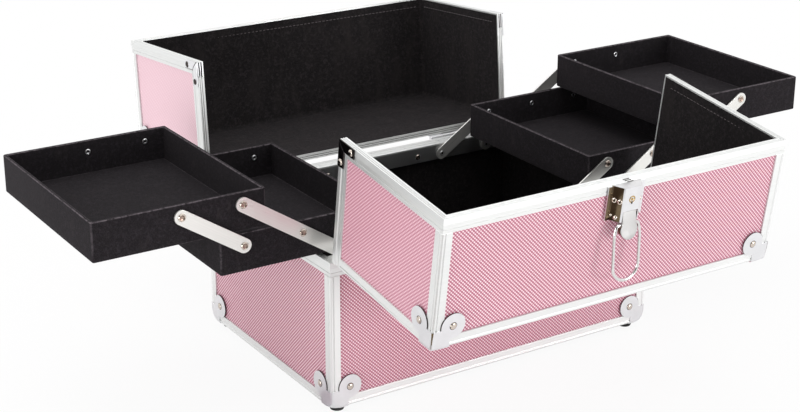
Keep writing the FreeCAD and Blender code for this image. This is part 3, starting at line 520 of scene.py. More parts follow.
def boardPiece(node, where, x, y, z, flip=1, clipped=(), look="pink"):
    # clipped: the corners that are cut off under a bracket
    bm = bmesh.new()
    corners = block(bm, x, y, z)
    if clipped:
        bmesh.ops.bevel(bm, geom=[corners[i] for i in clipped], offset=skin["cutCorner"], offset_type="OFFSET",
                        segments=1, affect="VERTICES")
    soften(bm, skin["ease"])
    bm.normal_update()
    layer = bm.loops.layers.uv.new("flat")
    for face in bm.faces:
        size = [abs(part) for part in face.normal]
        a, b = ((1, 2), (0, 2), (0, 1))[size.index(max(size))]
        for loop in face.loops:
            loop[layer].uv = (loop.vert.co[a] * metres, loop.vert.co[b] * metres * flip)
    finishPiece(node + "Skin", bm, where, look, node)


wall, board = case["wall"], case["board"]
outX, outY = halfWidth - wall, halfDepth - wall            # the boards' outer faces
inX, inY = halfWidth - board, halfDepth - board            # and their inner faces
floorLow, boardHigh = case["bottom"] + wall, case["top"] - wall
tall = (floorLow, boardHigh)
boardPiece("base_front_panel", upright, (-outX, outX), (-outY, -inY), tall, clipped=(0, 4))
boardPiece("base_rear_panel", upright, (-outX, outX), (inY, outY), tall, clipped=(2, 6))
boardPiece("base_left_panel", upright, (-outX, -inX), (-inY, inY), tall)
boardPiece("base_right_panel", upright, (inX, outX), (-inY, inY), tall)
boardPiece("base_floor_panel", upright, (-inX, inX), (-inY, inY), (floorLow, floorLow + case["floorBoard"]))
for half in halves:
    lid, where = half + "_lid_", lidFrame(half)
    tall, deep = (lidLow + wall, lidTop - wall), (lidFace + board, lidSeam - wall)
    boardPiece(lid + half + "_panel", where, (-outX, outX), (lidFace + wall, lidFace + board), tall, clipped=(1, 5))
    boardPiece(lid + "top_panel", where, (-inX, inX), deep, (lidTop - board, lidTop - wall))
    for side, sign in sides:
        sign = sign if half == "front" else -sign
        span = sorted((sign * inX, sign * outX))
        boardPiece(lid + side + "_panel", where, span, deep, tall, flip=-1, look=skin[half])
print("boards done")


# Linings: suede shells with eased corners, and in the lids a row of stitches under the rims

lining = dict(thick=1.1, corner=4.0, floorGap=1.2, stitchIn=8.0, stitchEnd=6, stitch=3.0, pitch=4.6, thread=0.32)
liningX, liningY = halfWidth - case["inside"], halfDepth - case["inside"]


def stitchRow(bm, start, end, lift):
    start, end, lift = Vector(start), Vector(end), Vector(lift).normalized()
    way = (end - start).normalized()
    side = way.cross(lift)
    thread = lining["thread"]
    for i in range(int((end - start).length / lining["pitch"])):
        middle = start + way * (i + 0.5) * lining["pitch"]
        loops = []
        for t in (-1, -0.7, 0, 0.7, 1):                    # each end dips into the suede
            fat = thread * (0.35 if abs(t) == 1 else 1)
            centre = middle + way * t * lining["stitch"] / 2 + lift * thread * (0.9 - abs(t) * 0.7)
            spokes = [around(1, 60 * k) for k in range(6)]
            loops.append([centre + side * fat * x + lift * fat * y for x, y in spokes])
        loft(bm, loops)


def baseLining():
    floor, rim = floorLow + case["floorBoard"] + lining["floorGap"], boardHigh
    radius, thick = lining["corner"], lining["thick"]
    loops = [ring(liningX + thick, liningY + thick, radius, rim)]
    loops += [ring(liningX, liningY, radius, rim - (rim - floor - radius) * i / 9) for i in range(10)]
    for degrees in range(18, 91, 18):                      # round into the floor
        flat, down = around(radius, degrees)
        inset = radius - flat
        loops.append(ring(liningX - inset, liningY - inset, max(flat, 0.4), floor + radius - down))
    bm = bmesh.new()
    loft(bm, loops, False, True)
    finishPiece("baseLiningSuede", bm, upright, "suede", "base_lining", smooth=50)


def lidLining(half):
    node = half + "_lid_lining"
    near, far = lidFace + case["inside"], lidSeam - wall
    low, high = lidLow + wall, lidTop - case["inside"]
    bm = bmesh.new()
    p = {(sx, y, z): bm.verts.new((sx * liningX, y, z)) for sx in (-1, 1) for y in (near, far) for z in (low, high)}
    bm.faces.new([p[-1, near, low], p[1, near, low], p[1, near, high], p[-1, near, high]])
    bm.faces.new([p[-1, near, high], p[1, near, high], p[1, far, high], p[-1, far, high]])
    for sx in (-1, 1):
        bm.faces.new([p[sx, near, low], p[sx, near, high], p[sx, far, high], p[sx, far, low]])
    folds = [edge for edge in bm.edges if len(edge.link_faces) == 2]
    bmesh.ops.bevel(bm, geom=folds, offset=lining["corner"], offset_type="OFFSET", segments=5, profile=0.5,
                    affect="EDGES")
    bmesh.ops.recalc_face_normals(bm, faces=bm.faces[:])
    bmesh.ops.solidify(bm, geom=bm.faces[:], thickness=lining["thick"])
    finishPiece(half + "LidSuede", bm, lidFrame(half), "suede", node, smooth=50)
    thread = bmesh.new()
    row, end = far - lining["stitchIn"], lining["stitchEnd"]
    stitchRow(thread, (-liningX + end, row, high), (liningX - end, row, high), (0, 0, -1))
    for sx in (-1, 1):
        x = sx * liningX
        stitchRow(thread, (x, row, low + lining["stitchIn"]), (x, row, high - end), (-sx, 0, 0))
    finishPiece(half + "LidStitches", thread, lidFrame(half), "thread", node, alone=True)


baseLining()
for half in halves:
    lidLining(half)
print("linings done")


# Rims: angle bars with a ridge and fine drawn grooves, mitred where they meet

rimShape = dict(leg=13, ridge=5, relief=0.6, groove=0.8, deep=0.5, slope=0.15, inset=3, wide=16.5, narrow=6.7,
                ease=0.18)


def rimProfile(width):
    # (inward from the outer face, away from the mating edge)
    leg, relief, groove, deep = rimShape["leg"], rimShape["relief"], rimShape["groove"], rimShape["deep"]
    slope, narrow, ridge = rimShape["slope"], rimShape["narrow"], rimShape["ridge"]

    def cutAt(start):
        return [(start, 0), (start + slope, deep), (start + groove - slope, deep), (start + groove, 0)]

    meeting = [narrow] if width > narrow else []           # where a narrow bar meets a wide one
    face = [(relief, 0)] + cutAt((width - groove) / 3) + [(a, 0) for a in meeting] + cutAt((width - groove) * 2 / 3)
    inner = [(width, 0), (width, wall)] + [(a, wall) for a in meeting] + [(wall, wall), (wall, leg)]
    outer = [(relief + b, a) for a, b in reversed(cutAt(leg - rimShape["inset"] - groove))]
    return face + inner + [(relief, leg)] + outer + [(relief, ridge + relief), (0, ridge)]


def rimNode(node, where, bars):
    # a bar's end is mitred across its web or across its leg; the web's grooves take a darker finish, painted shade in
    # the grooves
    bm = bmesh.new()
    for width, long, along, inward, at, ends in bars:
        away = along.cross(inward)
        loops, profile = [], rimProfile(width)
        for end, kind in enumerate(ends):
            loop = []
            for a, b in profile:
                short = min(a, rimShape["narrow"]) if kind == "web" else min(b, rimShape["leg"])
                loop.append(Vector(at) + along * (long - short if end else short) + inward * a + away * b)
            loops.append(loop)
        for face, here, there in zip(loft(bm, loops)[1], profile, profile[1:] + profile[:1]):
            face.material_index = int(here[1] == there[1] == rimShape["deep"])
    soften(bm, rimShape["ease"])
    finishPiece(node + "Bars", bm, where, "frameBar groove", node, smooth=20, grain=True)


right, back, up = Vector((1, 0, 0)), Vector((0, 1, 0)), Vector((0, 0, 1))
wide, narrow = rimShape["wide"], rimShape["narrow"]
across, deep, high = halfWidth * 2, halfDepth * 2, case["top"]
rimNode("base_rim", upright, [
    (wide, across, -right, back, (halfWidth, -halfDepth, high), ("web", "web")),
    (wide, across, right, -back, (-halfWidth, halfDepth, high), ("web", "web")),
    (narrow, deep, back, right, (-halfWidth, -halfDepth, high), ("web", "web")),
    (narrow, deep, -back, -right, (halfWidth, halfDepth, high), ("web", "web"))])
deep, high = lidSeam - lidFace, case["lidHeight"]
for half in halves:
    rimNode(half + "_lid_rims", lidFrame(half), [
        (narrow, across, right, back, (-halfWidth, lidFace, lidLow), ("web", "web")),
        (narrow, deep, -back, right, (-halfWidth, lidSeam, lidLow), ("leg", "web")),
        (narrow, deep, back, -right, (halfWidth, lidFace, lidLow), ("web", "leg")),
        (narrow, across, -right, -up, (halfWidth, lidSeam, lidTop), ("web", "web")),
        (narrow, high, -up, right, (-halfWidth, lidSeam, lidTop), ("web", "leg")),
        (narrow, high, up, -right, (halfWidth, lidSeam, lidLow), ("leg", "web"))])
print("rims done")


# Edge bars, arms, strips and hinges keep their own solid shape, with eased edges

easedNodes = dict(
    frameBar=(0.25, ["base_bottom_edges", "base_corner_posts", "front_lid_edges", "rear_lid_edges"]),
    armBar=(0.3, [side + "_" + kind + "_arms" for side, sign in sides for kind in ("long", "lower", "upper")]),
    stripBar=(0.25, ["pivot_strips"]),
    stamped=(0.2, ["base_hinges", "front_lid_hinge_leaves", "rear_lid_hinge_leaves", "latch_strike",
                   "handle_brackets"]),
    chrome=(0.15, ["latch_pin"]))
for look, (width, nodes) in easedNodes.items():
    for node in nodes:
        softenedNode(node, look, width)
print("bars, arms, strips and hinges done")


# Corner brackets: a pressed three-way cap with a round ear on each face

bracket = dict(arm=17, ear=11.5, earIn=19, earSteps=26, reach=12, cell=1.0, leg=10, gap=0.6)
roundCorner = dict(fold=2.0, nose=4.5, upright=2, slit=None)
sharpCorner = dict(fold=1.3, nose=0.9, upright=1, slit=(5.6, 0.35, 0.85))


def rounded(point, extra, kind):
    # eases the three folds, more towards the tip; extra moves the sheet outward
    reach = min(max(point) / bracket["reach"], 1)
    radius = kind["fold"] + kind["nose"] * (1 - reach * reach * (3 - 2 * reach))
    core = Vector([max(part, radius) for part in point])
    out = point - core
    if out.length < 1e-9:
        return point
    return core + out.normalized() * (radius + extra)


def onCorner(corner, into, kind, flat, extra):
    # from distances by axis, counted into the box, to a point on the eased corner
    point = rounded(Vector([flat.get(axis, 0.0) for axis in range(3)]), extra, kind)
    return Vector([corner[axis] + into[axis] * point[axis] for axis in range(3)])


def earEdge():
    # the outline from the cap's far corner on one axis, round the ear, to the other axis
    inset, radius, steps = bracket["earIn"], bracket["ear"], bracket["earSteps"]
    short = bracket["arm"] - inset
    chord = sqrt(radius ** 2 - short ** 2)
    start = atan2(-chord, short)
    span = (atan2(short, -chord) - start) % (2 * pi)
    turns = [start + span * i / steps for i in range(steps + 1)]
    return [(inset + radius * cos(turn), inset + radius * sin(turn)) for turn in turns]


def bracketShell():
    # one flat plate with its ear, cut into small cells so that it can follow the folds
    arm, cell = bracket["arm"], bracket["cell"]
    edge = [(arm * i / 8, 0.0) for i in range(9)] + [(arm, arm * i / 16) for i in range(1, 7)]
    outline = edge + earEdge() + [(b, a) for a, b in reversed(edge)][:-1]
    shell = bmesh.new()
    shell.faces.new([shell.verts.new((a, b, 0)) for a, b in outline])
    for k in range(1, int((bracket["earIn"] + bracket["ear"]) / cell) + 1):
        for normal in ((1, 0, 0), (0, 1, 0)):
            bmesh.ops.bisect_plane(shell, geom=shell.verts[:] + shell.edges[:] + shell.faces[:], dist=1e-5,
                                   plane_co=(k * cell, k * cell, 0), plane_no=normal)
    return shell


def bracketPiece(bm, shell, corner, into, kind):
    # three plates that share their folds, each with an inner and an outer skin
    ear = Vector((bracket["earIn"], bracket["earIn"]))
    for face in range(3):
        first, second = [axis for axis in range(3) if axis != face]
        skins = []
        for extra in (0.0, case["sheet"]):
            skins.append({vert: bm.verts.new(onCorner(corner, into, kind, {first: vert.co.x, second: vert.co.y}, extra))
                          for vert in shell.verts})
        for made in skins:
            for part in shell.faces:
                bm.faces.new([made[vert] for vert in part.verts])
        for edge in shell.edges:
            a, b = edge.verts
            onFold = max(a.co.x, b.co.x) < 1e-6 or max(a.co.y, b.co.y) < 1e-6
            if len(edge.link_faces) == 1 and not onFold:
                side = bm.faces.new([skins[0][a], skins[0][b], skins[1][b], skins[1][a]])
                middle = ((a.co + b.co) / 2).to_2d() - ear
                # side walls along the ear's edge take the dark finish: painted shade
                side.material_index = int(abs(middle.length - bracket["ear"]) < 0.2)
    bmesh.ops.remove_doubles(bm, verts=bm.verts[:], dist=0.002)


def bracketGapShades(bm, corner, into, kind):
    # a dark strip beside each ear where it meets the upright bar, painted shadow under the ear's edge, and a dark strip
    # along the upright fold for the open slit, painted shade inside it
    stand = kind["upright"]
    first, second = [axis for axis in range(3) if axis != stand]
    inset, radius = bracket["earIn"], bracket["ear"]
    start = acos((inset - bracket["leg"]) / radius)
    stop = -asin((inset - bracket["arm"]) / radius)
    for away in (second, first):
        rows = []
        for i in range(9):
            turn = start + (stop - start) * i / 8
            rows.append([onCorner(corner, into, kind, {away: inset - reach * cos(turn),
                                                       stand: inset + reach * sin(turn)}, 0.06)
                         for reach in (radius - 0.1, radius + bracket["gap"])])
        loft(bm, rows, False, False, closed=False)
    if kind["slit"]:
        begin, narrow, wide = kind["slit"]
        rows = []
        for i in range(13):
            up = begin + (bracket["arm"] - begin) * i / 12
            half = narrow + (wide - narrow) * i / 12
            rows.append([onCorner(corner, into, kind, {stand: up, first if k < 0 else second: abs(k) / 3 * half},
                                  case["sheet"] + 0.05) for k in range(-3, 4)])
        for part in loft(bm, rows, False, False, closed=False)[1]:
            part.material_index = 1


def bracketNode(node, where, corners, kind):
    bm, gapShades, shell = bmesh.new(), bmesh.new(), bracketShell()
    for corner, into in corners:
        bracketPiece(bm, shell, corner, into, kind)
        bracketGapShades(gapShades, corner, into, kind)
    shell.free()
    finishPiece(node + "Pressed", bm, where, "stamped cutEdge", node, smooth=40)
    finishPiece(node + "GapShades", gapShades, where, "gap slit", node, alone=True)


baseCorners = [((sx * halfWidth, sy * halfDepth, case["bottom"]), (-sx, -sy, 1)) for sx in (-1, 1) for sy in (-1, 1)]
lidCorners = [((sx * halfWidth, lidFace, lidTop), (-sx, 1, -1)) for sx in (-1, 1)]
bracketNode("base_corner_brackets", upright, baseCorners, roundCorner)
for half in halves:
    bracketNode(half + "_lid_corner_brackets", lidFrame(half), lidCorners, sharpCorner)
print("corner brackets done")


# Rivets: domed heads on the brackets and clips, hollow eyelets on the arms

rivet = dict(head=3.1, dome=1.25, edge=0.12, rim=3.5, eyelet=3.5, lip=2.7, dish=2.3, hole=1.2, shank=2)
domeProfile = [(0, -0.6), (rivet["head"], -0.6), (rivet["head"], rivet["edge"])]
domeProfile += [(around(rivet["head"], t)[0], rivet["edge"] + around(rivet["dome"], t)[1]) for t in range(15, 76, 15)]
domeProfile += [(0, rivet["edge"] + rivet["dome"])]
# a ring round each dome in the dark finish: painted shade round the rivet head
seatProfile = [(0, -0.3), (rivet["rim"], -0.3), (rivet["rim"], 0.07), (rivet["head"] - 0.2, 0.07)]
# the front clips are dark with a bright line down the mitre, the rear ones pale with a dark line and dark rivet heads:
# painted reflections and a painted highlight; glint is the width of that line
clip = dict(arm=24, wide=9, glint=0.7, wrap=15, ridge=0.5, front="darkChrome chrome", rear="stamped darkChrome",
            frontHead="nickel", rearHead="darkChrome",
            bands=[(0.8, 1.6), (1.6, 3.0), (3.0, 3.8), (3.8, 5.2), (5.2, 6.0)])


def domeRivets(node, where, spots, head="nickel", extra=""):
    bm = bmesh.new()
    for point, normal in spots:
        spot = facing(Vector(point) + Vector(normal) * case["sheet"], normal)
        turned(bm, spot, domeProfile)
        turned(bm, spot, seatProfile, hollow=rivet["rim"])
    finishPiece(node + "Domes" + extra, bm, where, head + " cutEdge", node, smooth=60, alone=bool(extra))


earIn = bracket["earIn"]
baseSpots, lidSpots, clipSpots = [], [], []
for (x, y, z), into in baseCorners:
    baseSpots += [((x, y + into[1] * earIn, z + earIn), (-into[0], 0, 0)),
                  ((x + into[0] * earIn, y, z + earIn), (0, -into[1], 0))]
for (x, y, z), into in lidCorners:
    near, far = clip["wide"] / 2, clip["arm"] - clip["wide"] / 2
    lidSpots += [((x, y + earIn, z - earIn), (-into[0], 0, 0)),
                 ((x + into[0] * earIn, y, z - earIn), (0, -1, 0)),
                 ((x + into[0] * earIn, y + earIn, z), (0, 0, 1))]
    clipSpots += [((x, lidSeam - far, lidLow + near), (-into[0], 0, 0)),
                  ((x, lidSeam - near, lidLow + far), (-into[0], 0, 0))]
domeRivets("base_rivets", upright, baseSpots)
for half in halves:
    domeRivets(half + "_lid_rivets", lidFrame(half), lidSpots)
    domeRivets(half + "_lid_rivets", lidFrame(half), clipSpots, clip[half + "Head"], "OnClips")


def eyelets(node, spots):
    # spots: centre x, z, side, and the heights out from the middle where each head starts; the inner head is
    # a small ring round a dark hole, its dark bottom painted shade, the outer one a broad rim round a shallow dish
    bm = bmesh.new()
    rim, lip, dish, hole, shank = (rivet[key] for key in ("eyelet", "lip", "dish", "hole", "shank"))
    for x, z, way, inner, outer in spots:
        spot = facing((x, 0, z), (0, way, 0))
        head = [(0, 0.6), (hole, 0.6), (hole, -0.35), (hole + 0.5, -0.6), (lip - 0.5, -0.6), (lip, -0.2), (lip, 0),
                (shank, 0)]
        turned(bm, spot, [(radius, inner + rise) for radius, rise in head] + [(shank, outer)], hollow=hole, look=3)
        head = [(shank, 0), (rim, 0), (rim, 0.35), (rim - 0.5, 0.9), (dish + 0.35, 0.9), (dish, 0.55),
                (dish * 0.5, 0.3), (0, 0.25)]
        turned(bm, spot, [(radius, outer + rise) for radius, rise in head], hollow=dish, hollowLook=2)
    finishPiece(node + "Eyelets", bm, upright, "nickel gap warmDish stamped", node, smooth=40)


tray = dict(width=157, halfDepth=99, height=35, wall=3, lower=(117.5, 150.8), upper=(230.5, 187.8), pivotUp=24,
            pivotIn=22, reach=56.5, edge=1.1, corner=1.6, insideCorner=1.0, cove=1.5)
arm = dict(plane=99.5, thick=1.7, drop=37, pivots=(-139.5, -83, 83, 139.5), pivotHead=103)
pivotZ = tray["lower"][1] + tray["pivotUp"] - arm["drop"]
eyelets("base_pivot_rivets", [(x, pivotZ, way, arm["plane"] - 0.2, arm["pivotHead"])
                              for x in arm["pivots"] for way in (-1, 1)])
for side, sign in sides:
    for level, count in (("lower", 3), ("upper", 2)):
        inner, bottom = tray[level]
        eyelets("%s_%s_tray_rivets" % (side, level),
                [(sign * (inner + tray["pivotIn"] + tray["reach"] * step), bottom + tray["pivotUp"], way,
                  tray["halfDepth"] - tray["wall"], arm["plane"] + arm["thick"])
                 for step in range(count) for way in (-1, 1)])

fixing = dict(strip=(54, 101.5), rim=(85, 110.5),
              stripHead=[(2.9, -0.2), (2.9, 0.3), (2.3, 0.7), (1.5, 0.6), (1.3, 0.2), (0, 0.2)],
              rimHead=[(2.2, -0.3), (2.2, 0.02), (1.8, 0.11), (0.7, 0.12), (0.6, -0.1), (0, -0.1)])


def fixings():
    # hollow rivets that hold the pivot strips, and flat heads on top of the base rim; their dark centres are painted
    # shade
    hollow, flat = bmesh.new(), bmesh.new()
    for sx in (-1, 1):
        for sy in (-1, 1):
            x, y = fixing["strip"]
            turned(hollow, facing((sx * x, sy * y, pivotZ), (0, -sy, 0)), fixing["stripHead"], 24, hollow=1.5)
            x, y = fixing["rim"]
            turned(flat, Matrix.Translation((sx * x, sy * y, case["top"])), fixing["rimHead"], 24, hollow=0.7)
    finishPiece("stripFixings", hollow, upright, "nickel gap", "pivot_strips", smooth=40, alone=True)
    finishPiece("rimFixings", flat, upright, "stamped gap", "base_rim", smooth=40, alone=True)


fixings()
print("rivets done")


# Trays: cloth-covered tubs with a loose floor card

def trayPiece(side, sign, level):
    node = "%s_%s_tray" % (side, level)
    inner, bottom = tray[level]
    middle = (sign * (inner + tray["width"] / 2), 0)
    halfX, halfY, thick, ease, cove = tray["width"] / 2, tray["halfDepth"], tray["wall"], tray["edge"], tray["cove"]
    top = bottom + tray["height"]
    quarter = [around(1, degrees) for degrees in (0, 30, 60, 90)]
    loops = []

    def lay(inset, z, radius=tray["corner"]):
        loops.append(ring(halfX - inset, halfY - inset, radius, z, 4, middle))

    def layInside(inset, z):
        lay(inset, z, tray["insideCorner"])

    for c, s in quarter:                                   # round the lower outside edge
        lay(ease * (1 - s), bottom + ease * (1 - c))
    for share in (0.25, 0.5, 0.75):
        lay(0, bottom + tray["height"] * share)
    lay(0, top - ease - 1.2)
    for c, s in quarter:                                   # over the rim
        lay(ease * (1 - c), top - ease + ease * s)
    for c, s in reversed(quarter):
        layInside(thick - ease * (1 - c), top - ease + ease * s)
    layInside(thick, top - ease - 1.2)
    for share in (0.7, 0.4):
        layInside(thick, bottom + tray["height"] * share)
    for c, s in quarter:                                   # into the floor
        layInside(thick + cove * (1 - c), bottom + thick + cove - cove * s)
    bm = bmesh.new()
    # the share of the paler tone on the rim, the upright corners and the lower edge: partly wear, partly painted
    # highlight
    lighter = bm.verts.layers.float.new("lighter")
    for i, row in enumerate(loft(bm, loops)[0]):
        for k, vert in enumerate(row):
            edge = i in (9, 10, 13, 14)                    # the rim's two rounded edges
            corner = 3 < i <= 15 and k % 5 in (1, 2, 3)    # the upright corners
            vert[lighter] = 1.0 if edge else (0.4 if corner else (0.35 if i in (1, 2) else 0.0))
    finishPiece(node + "Cloth", bm, upright, "cloth", node, smooth=40)
    card = bmesh.new()
    gap = thick + 0.9
    loops = [ring(halfX - gap - inset, halfY - gap - inset, 2, bottom + thick + rise, 4, middle)
             for inset, rise in ((0, 0.05), (0, 1.1), (0.35, 1.5), (1.3, 1.5))]
    # a paler line round the card's upper edge: partly wear, partly painted highlight
    lighter = card.verts.layers.float.new("lighter")
    for row, share in zip(loft(card, loops)[0], (0.0, 0.9, 0.7, 0.0)):
        for vert in row:
            vert[lighter] = share
    finishPiece(node + "Card", card, upright, "cloth", node, smooth=30, alone=True)


for side, sign in sides:
    for level in ("lower", "upper"):
        trayPiece(side, sign, level)
print("trays done")


# Corner clips on the free corners of each lid side: a pressed angle with a raised middle ridge

def clipPiece(half):
    bm = bmesh.new()
    wide, far, sheet, glint = clip["wide"], clip["arm"], case["sheet"], clip["glint"]
    ridge = ((0, 0), (0, sheet), (wide * 0.45, sheet + clip["ridge"]), (wide - 0.9, sheet), (wide - 0.4, sheet),
             (wide, 0))
    for sx in (-1, 1):
        start = sx * halfWidth
        rows = []
        for away, rise in ridge:
            flat = ((-far, away), (-away - glint, away), (-away, away + glint), (-away, far))
            rows.append([Vector((start + sx * rise, lidSeam + y, lidLow + z)) for y, z in flat])
        for i, face in enumerate(loft(bm, rows, False, False, closed=False)[1]):
            # the mitre line and the inner edge take the second finish: a painted highlight on the front lid's dark
            # clips, a painted dark reflection on the rear lid's pale ones
            face.material_index = int(i % 3 == 1 or i // 3 == 3)   # a bright line down the mitre and the inner edge
        bm.faces.new([bm.verts.new(point) for point in rows[0] + list(reversed(rows[-1]))])
        for end in (0, 3):
            bm.faces.new([bm.verts.new(row[end]) for row in rows])
        # the bands alternate dark and light: painted reflections
        for i, (near, away) in enumerate(clip["bands"]):   # let into the rim's mating face
            band = block(bm, sorted((start - sx * near, start - sx * away)), (lidSeam - clip["wrap"], lidSeam - 0.6),
                         (lidLow - 0.1, lidLow + 0.4))
            for part in facesOf(band):
                part.material_index = i % 2
    bmesh.ops.remove_doubles(bm, verts=bm.verts[:], dist=0.001)
    finishPiece(half + "LidClips", bm, lidFrame(half), clip[half], half + "_lid_corner_clips", smooth=20)


for half in halves:
    clipPiece(half)


# Feet: turned rubber with a rounded sole and a screw recess

foot = dict(high=6.2, top=8.5, sole=6.5, screw=2.2, recess=1.6, inset=13)
footProfile = [(0, foot["recess"]), (foot["screw"], foot["recess"]), (foot["screw"], 0.2), (foot["screw"] + 0.4, 0),
               (foot["sole"] - 1, 0), (foot["sole"] - 0.3, 0.25), (foot["sole"], 0.9),
               (foot["top"] - 0.4, foot["high"] - 1.4), (foot["top"], foot["high"] - 0.9),
               (foot["top"], foot["high"]), (0, foot["high"])]
bm = bmesh.new()
for sx in (-1, 1):
    for sy in (-1, 1):
        spot = (sx * (halfWidth - foot["inset"]), sy * (halfDepth - foot["inset"]), 0)
        turned(bm, Matrix.Translation(spot), footProfile)
finishPiece("rubberFeet", bm, upright, "rubber", "base_feet", smooth=50)
print("clips and feet done")


# Latch: flared housing with riveted sides, lock plug, spade lever and wire bail

latch = dict(top=lidSeam - 5, long=30.5, foot=15, front=9, deep=9.5, sheet=1.2, flange=19, crest=0.7, face=21,
             mouth=7.8, lockIn=10.5, lockRadius=3.2, pinDrop=27, pinDeep=5, bailDrop=34, bailDeep=7, tilt=10)
stud = dict(hollow=[(0, 0.35), (1.0, 0.35), (1.25, 0.75), (1.9, 0.7), (2.4, 0.2), (2.4, -0.3)],
            pin=[(0, 1.3), (0.9, 1.2), (1.7, 0.8), (2.1, 0.2), (2.1, -0.3)],
            small=[(0, 0.8), (0.8, 0.7), (1.3, 0.2), (1.3, -0.3)])
seamSlit = dict(half=3.2, thick=0.3, spots=((-1.2, 1.3), (0.9, 2.7), (3.8, 4.2)))
lever = dict(neck=7.3, neckLong=10.8, tip=9, flare=5, long=25, rim=2.4, crown=0.35, curl=0.9, cheek=(6.0, 7.2),
             eye=[(1.55, 0), (2.7, 0), (2.7, 0.25), (2.5, 0.45), (1.55, 0.45)])
bail = dict(leg=13.5, long=50, wire=1.5)
frontLid = lidFrame("front")
pinY = latch["top"] - latch["pinDrop"]
bailY, bailZ = latch["pinDrop"] - latch["bailDrop"], latch["bailDeep"] - latch["pinDeep"]   # from the pin
tilt = radians(latch["tilt"])


def flaredEdge(share):
    return latch["foot"] + (latch["front"] - latch["foot"]) * share


def onSide(sign, y, deep):
    # a frame that stands on the housing's flared side
    slope = atan2(latch["deep"], latch["foot"] - latch["front"])
    return facing((sign * flaredEdge(deep / latch["deep"]), y, lidTop + deep), (sign * sin(slope), 0, cos(slope)))


def latchHousing():
    deep, top, low = latch["deep"], latch["top"] + latch["crest"], latch["top"] - latch["long"]
    mouth = latch["top"] - latch["face"]

    def section(y, deep):
        share = deep / latch["deep"]
        edge, ease = flaredEdge(share), 0.8 * share
        half = [(latch["foot"], 0), (latch["foot"] + (edge - latch["foot"]) * 0.92, deep * 0.92),
                (edge - ease * 0.35, deep - ease * 0.25), (edge - ease, deep),
                (min(latch["mouth"], edge - ease - 0.1), deep)]
        return [Vector((x, y, lidTop + z)) for x, z in half + [(-x, z) for x, z in reversed(half)]]

    bm = bmesh.new()
    levels = [(low, deep), (mouth, deep), (top - 14, deep), (top - 0.5, deep), (top, deep - 0.5)]
    faces = loft(bm, [section(y, deep) for y, deep in levels], False, True, closed=False)[1]
    gap = [face for face in faces if all(vert.co.y <= mouth + 0.01 and abs(vert.co.x) <= latch["mouth"] + 0.01
                                         for vert in face.verts)]
    bmesh.ops.delete(bm, geom=gap, context="FACES")
    bmesh.ops.recalc_face_normals(bm, faces=bm.faces[:])
    bmesh.ops.solidify(bm, geom=bm.faces[:], thickness=latch["sheet"] * 0.8)
    bm.normal_update()
    for face in bm.faces:                                  # darker sides, a painted dark reflection, and a dull top
        face.material_index = 1 if abs(face.normal.x) > 0.6 else (2 if face.normal.y > 0.6 else 0)
    finishPiece("latchHousingShell", bm, frontLid, "stamped smoked dullPlate", "latch_housing", smooth=30)
    plate = bmesh.new()
    for sx in (-1, 1):
        block(plate, sorted((sx * (latch["foot"] - 1), sx * latch["flange"])), (low, latch["top"]),
              (lidTop, lidTop + latch["sheet"]))
    soften(plate, 0.4)
    plate.normal_update()
    for face in plate.faces:                               # the left flange's top takes the same dark finish as the side beside it: a painted dark reflection
        face.material_index = int(face.normal.z > 0.6 and face.calc_center_median().x < 0)
    finishPiece("latchFlange", plate, frontLid, "stamped smoked", "latch_housing", alone=True)
    studs = bmesh.new()
    for sx in (-1, 1):
        # the studs' hollow centres take the dark finish: painted shade
        for y, up in ((top - 12.6, 2.6), (top - 12.9, 6.8)):
            turned(studs, onSide(sx, y, up), stud["hollow"], 24, hollow=1.0)
        turned(studs, onSide(sx, pinY, latch["pinDeep"]), stud["pin"], 24)
        turned(studs, onSide(sx, pinY + 1.2, 1.6), stud["small"], 20)
    finishPiece("latchStuds", studs, frontLid, "nickel smoked", "latch_housing", smooth=50, alone=True)
    # dark slivers for the slits beside the latch: painted shade
    slits = bmesh.new()
    half, thick = seamSlit["half"], seamSlit["thick"]
    for x, drop in seamSlit["spots"]:
        y = lidSeam - drop
        block(slits, (x - half, x + half), (y - thick, y + thick), (lidTop - thick, lidTop + 0.06))
    soften(slits, 0.1)
    finishPiece("latchSeamSlits", slits, frontLid, "gap", "latch_housing", alone=True)


def lockPlug():
    bm = bmesh.new()
    y, high, radius = latch["top"] - latch["lockIn"], latch["deep"] + 0.3, latch["lockRadius"]
    turned(bm, Matrix.Translation((0, y, lidTop)), [
        (0, latch["pinDeep"]), (radius, latch["pinDeep"]), (radius, high - 0.25), (radius - 0.3, high),
        (radius - 0.9, high), (radius - 1.1, high - 0.4), (1.4, high - 0.4), (1.2, high - 0.1), (0, high - 0.1)], 36)
    # a dark slab for the keyhole: painted shade
    slot = block(bm, (-0.6, 0.6), (y - radius - 0.9, y - radius + 1.2), (lidTop + high - 0.6, lidTop + high + 0.02))
    for face in facesOf(slot):
        face.material_index = 1
    finishPiece("lockPlugTurned", bm, frontLid, "brass gap", "lock_plug", smooth=30)


